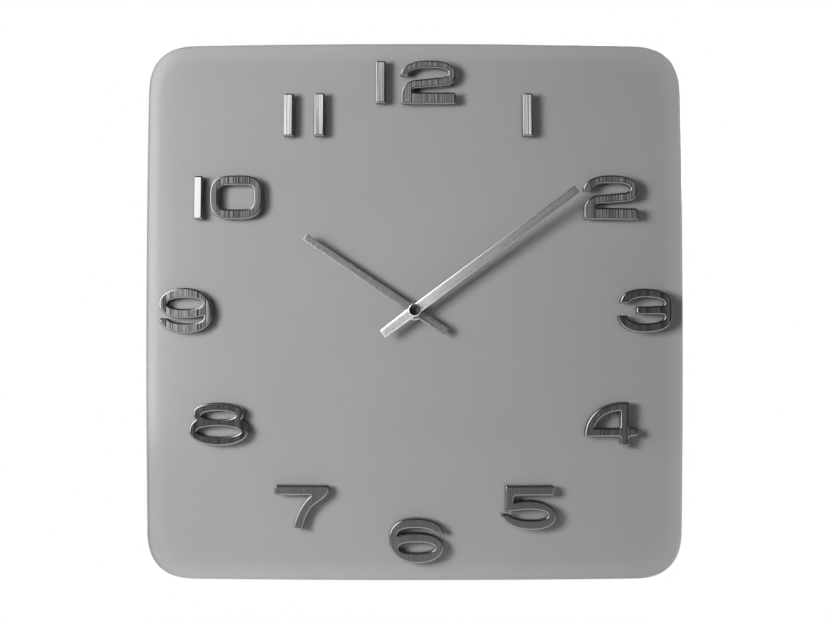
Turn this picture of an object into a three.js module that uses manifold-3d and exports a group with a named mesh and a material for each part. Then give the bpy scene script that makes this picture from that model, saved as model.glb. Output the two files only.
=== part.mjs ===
// Square wall clock: a domed glass face with bevelled metal numerals, two straight hands,
// a moulded back housing and a battery movement with its gear train.
//
// Everything is drawn in the dial's frame, in millimetres: x to the right and y up to the
// 12 as seen from the front, z away from the wall, with the hands' axis at x = y = 0.
// The outer group then stands it up, with +Z up and the face towards -Y, and puts the
// origin at the nail in the keyhole slot, on the plane of the wall.

import * as THREE from "three";
import { mergeVertices } from "three/addons/utils/BufferGeometryUtils.js";
import Module from "manifold-3d";

// Fits
const SEAT = 0.3; // between two pieces that rest on each other
const PLAY = 0.3; // round a shaft, and round a piece that slips into another

// Glass
const GLASS_SIZE = 350;
const GLASS_THICKNESS = 4;
const DOME_RADIUS = 1300; // of the front of the glass
const RIM_HEIGHT = 16.1673; // front of the glass at the middle of a side, from the wall
const CORNER = 33; // how far a soft corner reaches along each side
const CORNER_POWER = 2.65; // exponent of the corner's superellipse

// Numerals
const NUMERAL_HEIGHT = 4.5;
const NUMERAL_BEVEL = 1.1;
const FIGURE_SIZE = 28.8; // height of a four on the dial; the outlines are drawn at 28.8
const MARGIN_ON_AXES = 26.8; // from the edge of the glass to the ring of 3, 6, 9 and 12
const MARGIN_OFF_AXES = 28.4; // the same for the other hours, as radii

// Hands
const HAND_THICKNESS = 1;
const HAND_BEVEL = 0.25;
const HAND_WIDTH = 6.5; // at the axis
const HOUR_REACH = 85.1;
const HOUR_TIP_WIDTH = 5;
const HOUR_TAIL = 25;
const HOUR_TAIL_WIDTH = 6;
const HOUR_ANGLE = 303.8; // degrees clockwise from the 12
const MINUTE_REACH = 130.3;
const MINUTE_TIP_WIDTH = 5.2;
const MINUTE_TAIL = 25.5;
const MINUTE_TAIL_WIDTH = 5.4;
const MINUTE_ANGLE = 53.3;

// Stack of tubes on the axis, from the inside out
const ARBOR_RADIUS = 1.6;
const ARBOR_PIVOT_RADIUS = 1.2; // where it runs in the train bridge
const PIPE_WALL = 0.8; // of the hour wheel's pipe
const BUSH_WALL = 1;
const HUB_WALL = 1.25; // of each hand's hub round its tube
const NUT_RADIUS = 6.45;
const NUT_THICKNESS = 1.7;
const FRONT_WASHER_THICKNESS = 0.4;
const HOUR_HAND_RISE = 0.4; // from the end of the bush to the hour hand
const HANDS_APART = 3.3; // clear height between the two hands
const CAP_RADIUS = 4.25;
const CAP_HEIGHT = 2.6;
const PLUG_RADIUS = 3.15;
const PLUG_THICKNESS = 0.5;

// Back housing
const HOUSING_SETBACK = 32; // from the edge of the glass to the housing
const HOUSING_CORNER = 18;
const HOUSING_FLOOR = 2.5;
const HOUSING_WALL = 2.2;
const HOUSING_DRAFT = 0.8;
const REAR_BEVEL = 2;
const FLANGE_WIDTH = 8.2;
const FLANGE_THICKNESS = 2;
const TAPE_THICKNESS = 1;
const TAPE_WIDTH = 6;
const TAPE_GAP = 0.45; // from the tape to the sphere that the flat facets cut inside
const WELL_WALL = 1.8;
const WELL_PLAY = 1.2; // between the movement and the well round it
const RIB_THICKNESS = 1.5;
const RIB_HEIGHT = 4.5; // above the floor
const RIB_OFFSET = 15;
const NAIL_ABOVE_AXIS = 58;
const SLOT_WIDTH = 5;
const SLOT_DROP = 11; // from the nail to the middle of the round entry
const ENTRY_RADIUS = 5;

// Battery and movement case
const BATTERY_LENGTH = 50.5;
const BATTERY_RADIUS = 7.25;
const BATTERY_NUB_RADIUS = 2.75;
const BATTERY_NUB = 1.3;
const CONTACT_THICKNESS = 0.4;
const CASE_WALL = 1.5;
const CASE_FACE = 1.6; // thickness of the case's front
const CASE_CORNER = 3;
const BAY_WALL = 1;
const TRAIN_PLAY = 1.25; // from the centre wheel to the wall beside the battery
const COVER_THICKNESS = 1.5;
const MOVEMENT_WASHER_THICKNESS = 1;
const MOVEMENT_WASHER_RADIUS = 10;

// Motion work: cannon pinion, minute wheel and its pinion, hour wheel, setting pinion
const MOTION_MODULE = 0.4;
const CANNON_TEETH = 12;
const MINUTE_WHEEL_TEETH = 36;
const MINUTE_PINION_TEETH = 10;
const HOUR_WHEEL_TEETH = 40;
const SETTING_TEETH = 12;
const MINUTE_WHEEL_BEARING = 45; // degrees, direction from the hands' axis
const SETTING_BEARING = 11.5; // direction from the minute wheel to the setting knob

// Time train: centre wheel, third wheel and its pinion, rotor pinion
const TRAIN_MODULE = 0.28;
const CENTRE_TEETH = 60;
const THIRD_PINION_TEETH = 8;
const THIRD_TEETH = 48;
const ROTOR_TEETH = 6;
const THIRD_BEARING = 135;
const ROTOR_BEARING = 160; // direction from the third wheel to the rotor

const WHEEL_THICKNESS = 1.2;
const PINION_OVERHANG = 0.2; // of a pinion past each face of the wheel that it drives
const PIVOT_RADIUS = 0.5;
const PIVOT_DEPTH = 0.6; // into the front of the case
const STUD_RADIUS = 0.7; // that the minute wheel turns on
const BRIDGE_THICKNESS = 1.1;
const BRIDGE_RISE = 24.7; // from the wall beside the battery to the bridge's upper edge
const POST_RADIUS = 1.5;
const MAGNET_RADIUS = 2.8;
const MAGNET_LENGTH = 2;
const MAGNET_GAP = 0.5; // to the stator all round
const STATOR_THICKNESS = 1;
const STATOR_ARM = 2.5;
const CORE_WIDTH = 2;
const COIL_RADIUS = 3.6;
const COIL_LENGTH = 20;
const COIL_CHEEK = 1;
const BOARD_THICKNESS = 1;
const CRYSTAL_RADIUS = 1;
const CRYSTAL_LENGTH = 6;
const KNOB_RADIUS = 5;
const KNOB_THICKNESS = 2.2;
const KNOB_FLUTES = 14;
const KNOB_SHAFT_RADIUS = 1.5;

// Positions that follow from these sizes
const GLASS_HALF = GLASS_SIZE / 2;
// The front of the glass at the hands' axis, from the wall
const APEX = RIM_HEIGHT + DOME_RADIUS - Math.sqrt(DOME_RADIUS ** 2 - GLASS_HALF ** 2);
const GLASS_BACK = APEX - GLASS_THICKNESS;
const EDGE_RADIUS = GLASS_THICKNESS / 2;
const HOUSING_HALF = GLASS_HALF - HOUSING_SETBACK;
const TAPE_FRONT = -TAPE_GAP;
const FLANGE_FRONT = TAPE_FRONT - TAPE_THICKNESS - SEAT;
const FLANGE_REAR = FLANGE_FRONT - FLANGE_THICKNESS;

const PIPE_BORE = ARBOR_RADIUS + PLAY;
const PIPE_RADIUS = PIPE_BORE + PIPE_WALL;
const BUSH_BORE = PIPE_RADIUS + PLAY;
const BUSH_RADIUS = BUSH_BORE + BUSH_WALL;
const GLASS_HOLE = BUSH_RADIUS + PLAY;
const FRONT_WASHER_REAR = APEX + SEAT;
const NUT_REAR = FRONT_WASHER_REAR + FRONT_WASHER_THICKNESS + SEAT;
const NUT_FRONT = NUT_REAR + NUT_THICKNESS;
const BUSH_FRONT = NUT_FRONT + 0.2;
const HOUR_HAND_REAR = BUSH_FRONT + HOUR_HAND_RISE;
const HOUR_HAND_FRONT = HOUR_HAND_REAR + HAND_THICKNESS;
const PIPE_FRONT = HOUR_HAND_FRONT + 0.5;
const MINUTE_HAND_REAR = HOUR_HAND_FRONT + HANDS_APART;
const MINUTE_HAND_FRONT = MINUTE_HAND_REAR + HAND_THICKNESS;
const COLLET_REAR = PIPE_FRONT + 0.8;
const CAP_REAR = MINUTE_HAND_FRONT + SEAT;
const CAP_FRONT = CAP_REAR + CAP_HEIGHT;
const PLUG_FRONT = CAP_FRONT - 0.1;
const PLUG_REAR = PLUG_FRONT - PLUG_THICKNESS;
const CAP_POCKET = PLUG_REAR - SEAT;
const CAP_BORE_FRONT = CAP_POCKET - 0.6;
const ARBOR_FRONT = CAP_BORE_FRONT - SEAT;

const WASHER_FRONT = GLASS_BACK - SEAT;
const WASHER_REAR = WASHER_FRONT - MOVEMENT_WASHER_THICKNESS;
const CASE_FRONT = WASHER_REAR - SEAT;
const CASE_INSIDE = CASE_FRONT - CASE_FACE;
const BATTERY_Z = CASE_INSIDE - 0.4 - BATTERY_RADIUS;
const CASE_REAR = BATTERY_Z - BATTERY_RADIUS - 0.5;
const CONTACT_SPACE = CONTACT_THICKNESS + 2 * SEAT + 0.25;
const CASE_INNER_HALF = BATTERY_LENGTH / 2 + CONTACT_SPACE;
const CASE_HALF = CASE_INNER_HALF + CASE_WALL;
// The train's side of the wall beside the battery, clear of the centre wheel
const TRAIN_LOW = -(TRAIN_MODULE * (CENTRE_TEETH / 2 + 0.9) + TRAIN_PLAY);
const BAY_HIGH = TRAIN_LOW - BAY_WALL;
const BAY_LOW = BAY_HIGH - 2 * (BATTERY_RADIUS + 0.55);
const BATTERY_Y = (BAY_LOW + BAY_HIGH) / 2;
const CASE_INNER_RISE = -BAY_LOW; // half the height inside, with the hands' axis in its middle
const CASE_RISE = CASE_INNER_RISE + CASE_WALL;
const WELL_HALF = CASE_HALF + WELL_PLAY;
const WELL_RISE = CASE_RISE + WELL_PLAY;

// Depths behind the inside of the case's front, each layer as [front, rear] heights
const layer = (depth, thickness) => [CASE_INSIDE - depth, CASE_INSIDE - depth - thickness];
const below = (upper, gap, thickness) => [upper[1] - gap, upper[1] - gap - thickness];
const wider = ([front, rear], by) => [front + by, rear - by];
const HOUR_WHEEL_AT = layer(0.4, WHEEL_THICKNESS);
const MINUTE_WHEEL_AT = below(HOUR_WHEEL_AT, 0.6, WHEEL_THICKNESS);
const MINUTE_PINION_AT = [HOUR_WHEEL_AT[0] + 0.1, MINUTE_WHEEL_AT[0]];
const CANNON_AT = wider(MINUTE_WHEEL_AT, PINION_OVERHANG);
const CENTRE_WHEEL_AT = below(MINUTE_WHEEL_AT, 0.8, WHEEL_THICKNESS);
const THIRD_WHEEL_AT = below(CENTRE_WHEEL_AT, 0.3, WHEEL_THICKNESS);
const THIRD_PINION_AT = [CENTRE_WHEEL_AT[0] + SEAT, THIRD_WHEEL_AT[0]];
const ROTOR_PINION_AT = wider(THIRD_WHEEL_AT, PINION_OVERHANG);
const MAGNET_AT = below(THIRD_WHEEL_AT, 0.5, MAGNET_LENGTH);
const STATOR_AT = below(THIRD_WHEEL_AT, 0.5 + (MAGNET_LENGTH - STATOR_THICKNESS) / 2, STATOR_THICKNESS);
const CORE_AT = [STATOR_AT[0] + SEAT + STATOR_THICKNESS, STATOR_AT[0] + SEAT];
const BRIDGE_AT = below(MAGNET_AT, 0.5, BRIDGE_THICKNESS);
const BOARD_AT = [BRIDGE_AT[0] + SEAT + BOARD_THICKNESS, BRIDGE_AT[0] + SEAT];
const PIVOT_FRONT = CASE_INSIDE + PIVOT_DEPTH;
const PIVOT_REAR = BRIDGE_AT[1] - SEAT;
const COVER_AT = [CASE_REAR + COVER_THICKNESS, CASE_REAR];
const KNOB_AT = [CASE_REAR - SEAT, CASE_REAR - SEAT - KNOB_THICKNESS];

const TAU = Math.PI * 2;
const degrees = (angle) => (angle * Math.PI) / 180;
const from = (point, bearing, distance) =>
  new THREE.Vector2(
    point.x + distance * Math.cos(degrees(bearing)),
    point.y + distance * Math.sin(degrees(bearing)),
  );
const spacing = (module, teeth, otherTeeth) => (module * (teeth + otherTeeth)) / 2;

const AXIS = new THREE.Vector2(0, 0);
const MOTION_SPACING = spacing(MOTION_MODULE, CANNON_TEETH, MINUTE_WHEEL_TEETH);
// The second pair of the motion work shares its spacing with the first.
const HOUR_MODULE = (2 * MOTION_SPACING) / (MINUTE_PINION_TEETH + HOUR_WHEEL_TEETH);
const MINUTE_WHEEL_AXIS = from(AXIS, MINUTE_WHEEL_BEARING, MOTION_SPACING);
const SETTING_AXIS = from(
  MINUTE_WHEEL_AXIS,
  SETTING_BEARING,
  spacing(MOTION_MODULE, MINUTE_WHEEL_TEETH, SETTING_TEETH),
);
const THIRD_AXIS = from(
  AXIS,
  THIRD_BEARING,
  spacing(TRAIN_MODULE, CENTRE_TEETH, THIRD_PINION_TEETH),
);
const ROTOR_AXIS = from(
  THIRD_AXIS,
  ROTOR_BEARING,
  spacing(TRAIN_MODULE, THIRD_TEETH, ROTOR_TEETH),
);

const wasm = await Module();
wasm.setup();

// A closed geometry as a solid that can be joined and cut.
function solid(geometry) {
  const bare = geometry.clone();
  bare.deleteAttribute("normal");
  bare.deleteAttribute("uv");
  const merged = mergeVertices(bare, 1e-4);
  return new wasm.Manifold(
    new wasm.Mesh({
      numProp: 3,
      vertProperties: merged.attributes.position.array,
      triVerts: new Uint32Array(merged.index.array),
    }),
  );
}

function geometryOf(body) {
  const mesh = body.getMesh();
  const positions = new Float32Array(mesh.numVert * 3);
  for (let i = 0; i < mesh.numVert; i++) {
    const at = i * mesh.numProp;
    positions.set(mesh.vertProperties.subarray(at, at + 3), i * 3);
  }
  const geometry = new THREE.BufferGeometry();
  geometry.setAttribute("position", new THREE.BufferAttribute(positions, 3));
  geometry.setIndex(new THREE.BufferAttribute(new Uint32Array(mesh.triVerts), 1));
  geometry.computeVertexNormals();
  return geometry;
}

const joined = (first, ...rest) =>
  geometryOf(rest.reduce((sum, next) => sum.add(solid(next)), solid(first)));

function cut(body, ...tools) {
  return geometryOf(tools.reduce((rest, tool) => rest.subtract(solid(tool)), solid(body)));
}

// Outlines
function circle(radius, steps, centre = AXIS) {
  return Array.from({ length: steps }, (_, i) => {
    const angle = (TAU * (i + 0.5)) / steps;
    return new THREE.Vector2(
      centre.x + radius * Math.cos(angle),
      centre.y + radius * Math.sin(angle),
    );
  });
}

// A square with corners of a given power, counterclockwise from the foot of the right side.
function softSquare(half, corner, power, sideSteps, cornerSteps) {
  const points = [];
  const straight = half - corner;
  for (let quarter = 0; quarter < 4; quarter++) {
    const turn = (quarter * Math.PI) / 2;
    const add = (x, y) => points.push(new THREE.Vector2(x, y).rotateAround(AXIS, turn));
    for (let i = 0; i < sideSteps; i++) add(half, straight * ((2 * i) / sideSteps - 1));
    for (let i = 0; i < cornerSteps; i++) {
      const angle = (i / cornerSteps) * (Math.PI / 2);
      add(
        straight + corner * Math.cos(angle) ** (2 / power),
        straight + corner * Math.sin(angle) ** (2 / power),
      );
    }
  }
  return points;
}

function roundedBox(left, low, right, high, radius, steps = 3) {
  const points = [];
  const corners = [
    [right - radius, low + radius, -0.25],
    [right - radius, high - radius, 0],
    [left + radius, high - radius, 0.25],
    [left + radius, low + radius, 0.5],
  ];
  for (const [x, y, start] of corners) {
    for (let i = 0; i <= steps; i++) {
      const angle = TAU * (start + (0.25 * i) / steps);
      points.push(new THREE.Vector2(x + radius * Math.cos(angle), y + radius * Math.sin(angle)));
    }
  }
  return points;
}

const box = (left, low, right, high) => [
  new THREE.Vector2(left, low),
  new THREE.Vector2(right, low),
  new THREE.Vector2(right, high),
  new THREE.Vector2(left, high),
];

// Trapezoid teeth on a pitch circle, thinned so that a meshed pair keeps play all round.
// phase is the direction of one tooth.
function gearOutline(module, teeth, phase, centre = AXIS) {
  const pitch = (module * teeth) / 2;
  const root = pitch - 1.25 * module;
  const tip = pitch + 0.9 * module;
  const step = TAU / teeth;
  const points = [];
  for (let i = 0; i < teeth; i++) {
    const middle = phase + i * step;
    const corners = [
      [root, -0.33],
      [tip, -0.12],
      [tip, 0.12],
      [root, 0.33],
    ];
    for (const [radius, share] of corners) {
      const angle = middle + share * step;
      points.push(
        new THREE.Vector2(
          centre.x + radius * Math.cos(angle),
          centre.y + radius * Math.sin(angle),
        ),
      );
    }
  }
  return points;
}

// The phase of a gear whose gap takes the tooth of its neighbour, which lies towards
// bearing from that neighbour's own axis.
function meshedPhase(phase, teeth, bearing, otherTeeth) {
  const line = degrees(bearing);
  return line + Math.PI + Math.PI / otherTeeth - ((phase - line) * teeth) / otherTeeth;
}

// A flat piece between two heights, given as [front, rear].
function slab(outline, [front, rear], holes = []) {
  const shape = new THREE.Shape(outline);
  shape.holes = holes.map((hole) => new THREE.Path(hole));
  const geometry = new THREE.ExtrudeGeometry(shape, {
    depth: front - rear,
    bevelEnabled: false,
  });
  return geometry.translate(0, 0, rear);
}

// A turned piece about z from [radius, z] corners, counterclockwise with radius to the right.
function turned(profile, steps, centre = AXIS) {
  const geometry = new THREE.LatheGeometry(
    profile.map(([radius, z]) => new THREE.Vector2(radius, z)),
    steps,
  );
  return geometry.rotateX(Math.PI / 2).translate(centre.x, centre.y, 0);
}

const rod = (radius, [front, rear], steps, centre) =>
  turned(
    [
      [0, rear],
      [radius, rear],
      [radius, front],
      [0, front],
    ],
    steps,
    centre,
  );

const tube = (radius, bore, [front, rear], steps, centre) =>
  turned(
    [
      [bore, rear],
      [radius, rear],
      [radius, front],
      [bore, front],
      [bore, rear],
    ],
    steps,
    centre,
  );

// A closed ring through sections that all have the same number of points, in an order
// that runs outwards on the front and inwards on the rear.
function ringLoft(sections) {
  const count = sections[0].length;
  const positions = sections.flat().flatMap((p) => [p.x, p.y, p.z]);
  const index = [];
  for (let s = 0; s < sections.length; s++) {
    const near = s * count;
    const far = ((s + 1) % sections.length) * count;
    for (let i = 0; i < count; i++) {
      const next = (i + 1) % count;
      index.push(near + i, far + i, far + next);
      index.push(near + i, far + next, near + next);
    }
  }
  const geometry = new THREE.BufferGeometry();
  geometry.setAttribute("position", new THREE.Float32BufferAttribute(positions, 3));
  geometry.setIndex(index);
  geometry.computeVertexNormals();
  return geometry;
}

// Height over the wall of the sphere that lies depth behind the front of the glass.
function domeHeight(x, y, depth = 0) {
  const centre = APEX - DOME_RADIUS;
  return centre + Math.sqrt((DOME_RADIUS - depth) ** 2 - x * x - y * y);
}

// The outline moved to its left by a distance: into the material, for an outline that
// runs counterclockwise and holes that run clockwise.
function shiftedLeft(points, distance) {
  return points.map((point, i) => {
    const before = points[(i + points.length - 1) % points.length];
    const after = points[(i + 1) % points.length];
    const a = point.clone().sub(before).normalize();
    const b = after.clone().sub(point).normalize();
    const left = new THREE.Vector2(-a.y - b.y, a.x + b.x).normalize();
    const stretch = Math.min(1 / Math.max(left.dot(new THREE.Vector2(-a.y, a.x)), 0.2), 3);
    return point.clone().addScaledVector(left, distance * stretch);
  });
}

// A plate on z = 0 with its front edges bevelled, inside and out.
function bevelledPlate(outline, holes, height, bevel) {
  const counterclockwise = (points) => THREE.ShapeUtils.area(points) > 0;
  const contours = [
    counterclockwise(outline) ? outline : [...outline].reverse(),
    ...holes.map((hole) => (counterclockwise(hole) ? [...hole].reverse() : hole)),
  ];
  const insets = contours.map((points) => shiftedLeft(points, bevel));
  const levels = [
    [contours, 0],
    [contours, height - bevel],
    [insets, height],
  ];
  const count = contours.flat().length;
  const positions = levels.flatMap(([rings, z]) => rings.flat().flatMap((p) => [p.x, p.y, z]));
  const index = [];
  let start = 0;
  for (const points of contours) {
    for (let i = 0; i < points.length; i++) {
      const here = start + i;
      const next = start + ((i + 1) % points.length);
      for (const low of [0, count]) {
        index.push(low + here, low + next, low + count + next);
        index.push(low + here, low + count + next, low + count + here);
      }
    }
    start += points.length;
  }
  for (const [a, b, c] of THREE.ShapeUtils.triangulateShape(contours[0], contours.slice(1))) {
    index.push(c, b, a);
  }
  for (const [a, b, c] of THREE.ShapeUtils.triangulateShape(insets[0], insets.slice(1))) {
    index.push(2 * count + a, 2 * count + b, 2 * count + c);
  }
  const geometry = new THREE.BufferGeometry();
  geometry.setAttribute("position", new THREE.Float32BufferAttribute(positions, 3));
  geometry.setIndex(index);
  geometry.computeVertexNormals();
  return geometry;
}

const drawnSize = (value) => (value * FIGURE_SIZE) / 28.8;

// An outline from move, line and cubic curve commands, with steps by each curve's length.
function drawn(commands) {
  const numbers = commands.match(/[A-Z]|-?[\d.]+/g);
  const points = [];
  let at = null;
  let letter = "";
  let i = 0;
  const size = () => drawnSize(Number(numbers[i++]));
  const read = () => new THREE.Vector2(size(), size());
  while (i < numbers.length) {
    if (/[A-Z]/.test(numbers[i])) letter = numbers[i++];
    if (letter === "Z") break;
    if (letter === "C") {
      const curve = new THREE.CubicBezierCurve(at, read(), read(), read());
      const steps = Math.min(5, Math.max(2, Math.round(curve.getLength() / drawnSize(2.6))));
      points.push(...curve.getPoints(steps).slice(1));
      at = curve.v3;
    } else {
      at = read();
      points.push(at);
    }
  }
  if (points[0].distanceTo(points[points.length - 1]) < 1e-3) points.pop();
  return points;
}

// |x / a| ^ power + |y / b| ^ power = 1
function superellipse(x, y, a, b, power, steps) {
  return Array.from({ length: steps }, (_, i) => {
    const angle = (TAU * i) / steps;
    const share = (value) => Math.sign(value) * Math.abs(value) ** (2 / power);
    const point = [x + a * share(Math.cos(angle)), y + b * share(Math.sin(angle))];
    return new THREE.Vector2(...point.map(drawnSize));
  });
}

const halfTurn = (points) => points.map((p) => new THREE.Vector2(-p.x, -p.y));
const mirrored = (points) => [
  ...points,
  ...points.map((p) => new THREE.Vector2(-p.x, p.y)).reverse(),
];
const bar = (width, height) => {
  const [x, y] = [drawnSize(width / 2), drawnSize(height / 2)];
  return roundedBox(-x, -y, x, y, drawnSize(1.25), 2);
};

// Each glyph round the middle of its own box: outline, then its counters.
const two = drawn(
  "M-18.1 4.4 C-17.6 11.4 -9.5 14.6 0.3 14.6 C11.5 14.6 18.1 12.2 18.1 5.4 " +
    "C18.1 0 15 -2.5 9.5 -2.9 L-7.5 -4.3 C-9.3 -4.5 -9.9 -5 -9.9 -5.8 " +
    "C-9.9 -6.5 -9.6 -6.9 -9 -6.9 L18.1 -6.9 L18.1 -14.6 L-15.2 -14.6 " +
    "C-16.9 -14.6 -17.7 -13.9 -17.7 -12.4 L-17.7 -8.5 C-17.7 -3.5 -13.5 0.6 -8.7 1.4 " +
    "L9.5 3.3 C12 3.5 13 4.8 13 6 C13 8.4 7.5 9.4 0.5 9.4 C-7 9.4 -12 7.8 -12.6 4 Z",
);
const three = drawn(
  "M-16.4 4.8 C-15.6 11.2 -10.5 14.4 0 14.4 C10.5 14.4 18 11.5 18 5.2 " +
    "C18 2.5 18.2 -1.5 18 -4.6 C18 -11 10.5 -14.4 -0.5 -14.4 " +
    "C-9.5 -14.4 -17.2 -11 -18 -3.1 L-11.9 -3.1 C-11 -6.5 -6.5 -8.2 0 -8.2 " +
    "C6.5 -8.2 12.6 -7 13.1 -4.2 C13.2 -3 12 -2.6 10.5 -2.6 L-5.6 -2.6 L-5.6 2.6 " +
    "L10 3.2 C12 3.3 13.2 3.9 13 5 C12.4 7.4 6.5 8.4 0.5 8.4 C-5 8.4 -9.8 7.2 -10.8 4.4 Z",
);
const four = drawn(
  "M-17.5 -8 C-17.7 4.6 -7 14.4 8 14.4 L11.8 14.4 L11.8 -2.2 L17.5 -2.2 " +
    "L17.5 -8 L11.8 -8 L11.8 -14.4 L6 -14.4 L6 -8 Z",
);
const fourCounter = drawn("M-11 -2.3 C-8.5 4.2 -3 8.3 5.9 8.4 L5.8 -2.3 Z");
const five = drawn(
  "M-15.1 14.5 L16.7 14.5 L16.7 7.7 L-9.3 7.7 L-9.3 3.6 C-6 4.5 -3 4.8 0.5 4.8 " +
    "C11 4.8 18.2 0.5 18.2 -5.8 C18.2 -11.5 12 -14.7 3 -14.7 " +
    "C-7 -14.7 -16.2 -11 -18.1 -4 L-12.9 -4 C-10 -6.6 -4 -8 2 -8 " +
    "C8 -8 12.6 -7.2 12.6 -5.2 C12.6 -2.8 7 -1.5 0.5 -1.5 C-4.5 -1.5 -8.5 -2.6 -15.1 -2.6 Z",
);
const six = drawn(
  "M17.6 4.6 C17.4 11.6 9.5 14.8 0 14.8 C-10.5 14.8 -17.7 10.5 -17.7 1.5 " +
    "C-17.7 -9.5 -9 -14.9 1 -14.9 C10.5 -14.9 17.8 -10.5 17.8 -4.5 " +
    "C17.8 0.8 12.5 5.2 1 5.2 C-4 5.2 -8 4.8 -10.9 3.6 L-11.8 3.9 " +
    "C-12.2 5.6 -10.5 8.1 -1 8.1 C5.5 8.1 10 7 11.8 5 Z",
);
const sixCounter = superellipse(0.5, -4.6, 11.5, 3.35, 2.3, 16);
const seven = drawn(
  "M-17.7 14.6 L17.7 14.6 L17.7 10.8 C17 7 10.5 4 6.6 0.2 C3.6 -3.2 1.6 -8.5 0.6 -14.4 " +
    "L-5.5 -12.9 C-4.2 -5.5 -0.5 2.5 5.8 8.1 L-17.7 8.1 Z",
);
const eight = mirrored(
  drawn(
    "M0 14 C-9 14 -16.6 12 -16.6 7.3 C-16.6 5.2 -16.2 4 -15.2 3 " +
      "C-17.8 1.2 -19.4 -1.2 -19.4 -4.2 C-19.4 -10.5 -10.5 -14 0 -14",
  ).slice(1, -1),
);
const eightCounters = [
  superellipse(0, 5.8, 11, 2.65, 2, 14),
  superellipse(0, -4.7, 14.2, 3.3, 2, 16),
];
const zero = superellipse(0, 0, 17.35, 14.4, 3.2, 28);
const zeroCounter = superellipse(0, 0, 11.3, 7.9, 5, 20);

// [name, hour whose place on the ring it takes, shift from there, outline, counters]
const NUMERALS = [
  ["numeral_1", 1, 0, bar(7, 28.6), []],
  ["numeral_2", 2, 0, two, []],
  ["numeral_3", 3, 0.6, three, []],
  ["numeral_4", 4, 0, four, [fourCounter]],
  ["numeral_5", 5, 0, five, []],
  ["numeral_6", 6, 1, six, [sixCounter]],
  ["numeral_7", 7, 0.6, seven, []],
  ["numeral_8", 8, 0.6, eight, eightCounters],
  ["numeral_9", 9, 0.3, halfTurn(six), [halfTurn(sixCounter)]],
  ["numeral_10_bar", 10, -13.1, bar(6, 28.6), []],
  ["numeral_10_zero", 10, 11.6, zero, [zeroCounter]],
  ["numeral_11_left", 11, -8.4, bar(7, 28.6), []],
  ["numeral_11_right", 11, 11.6, bar(7, 28.6), []],
  ["numeral_12_bar", 12, -21.9, bar(6.7, 28.5), []],
  ["numeral_12_two", 12, 8.8, two, []],
];

// The glass: two spheres with one centre, a round polished edge and a hole for the bush.
function glassFace() {
  const edge = softSquare(
    GLASS_HALF - EDGE_RADIUS,
    CORNER - EDGE_RADIUS,
    CORNER_POWER,
    8,
    6,
  );
  const hole = edge.map((p) => p.clone().setLength(GLASS_HOLE));
  const shares = [0.2, 0.4, 0.6, 0.8];
  const face = (depth) =>
    [hole, ...shares.map((share) => edge.map((p) => p.clone().multiplyScalar(share)))].map(
      (ring) => ring.map((p) => new THREE.Vector3(p.x, p.y, domeHeight(p.x, p.y, depth))),
    );
  // Half a circle round the middle sphere, in the plane of its normal and the way out.
  const rim = [90, 45, 0, -45, -90].map((angle) =>
    edge.map((p, i) => {
      const before = edge[(i + edge.length - 1) % edge.length];
      const after = edge[(i + 1) % edge.length];
      const along = after.clone().sub(before);
      const middle = new THREE.Vector3(p.x, p.y, domeHeight(p.x, p.y, EDGE_RADIUS));
      const up = middle.clone().sub(new THREE.Vector3(0, 0, APEX - DOME_RADIUS)).normalize();
      const out = new THREE.Vector3(along.y, -along.x, 0);
      out.addScaledVector(up, -out.dot(up)).normalize();
      return middle
        .addScaledVector(out, EDGE_RADIUS * Math.cos(degrees(angle)))
        .addScaledVector(up, EDGE_RADIUS * Math.sin(degrees(angle)));
    }),
  );
  return ringLoft([...face(0), ...rim, ...face(GLASS_THICKNESS).reverse()]);
}

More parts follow.
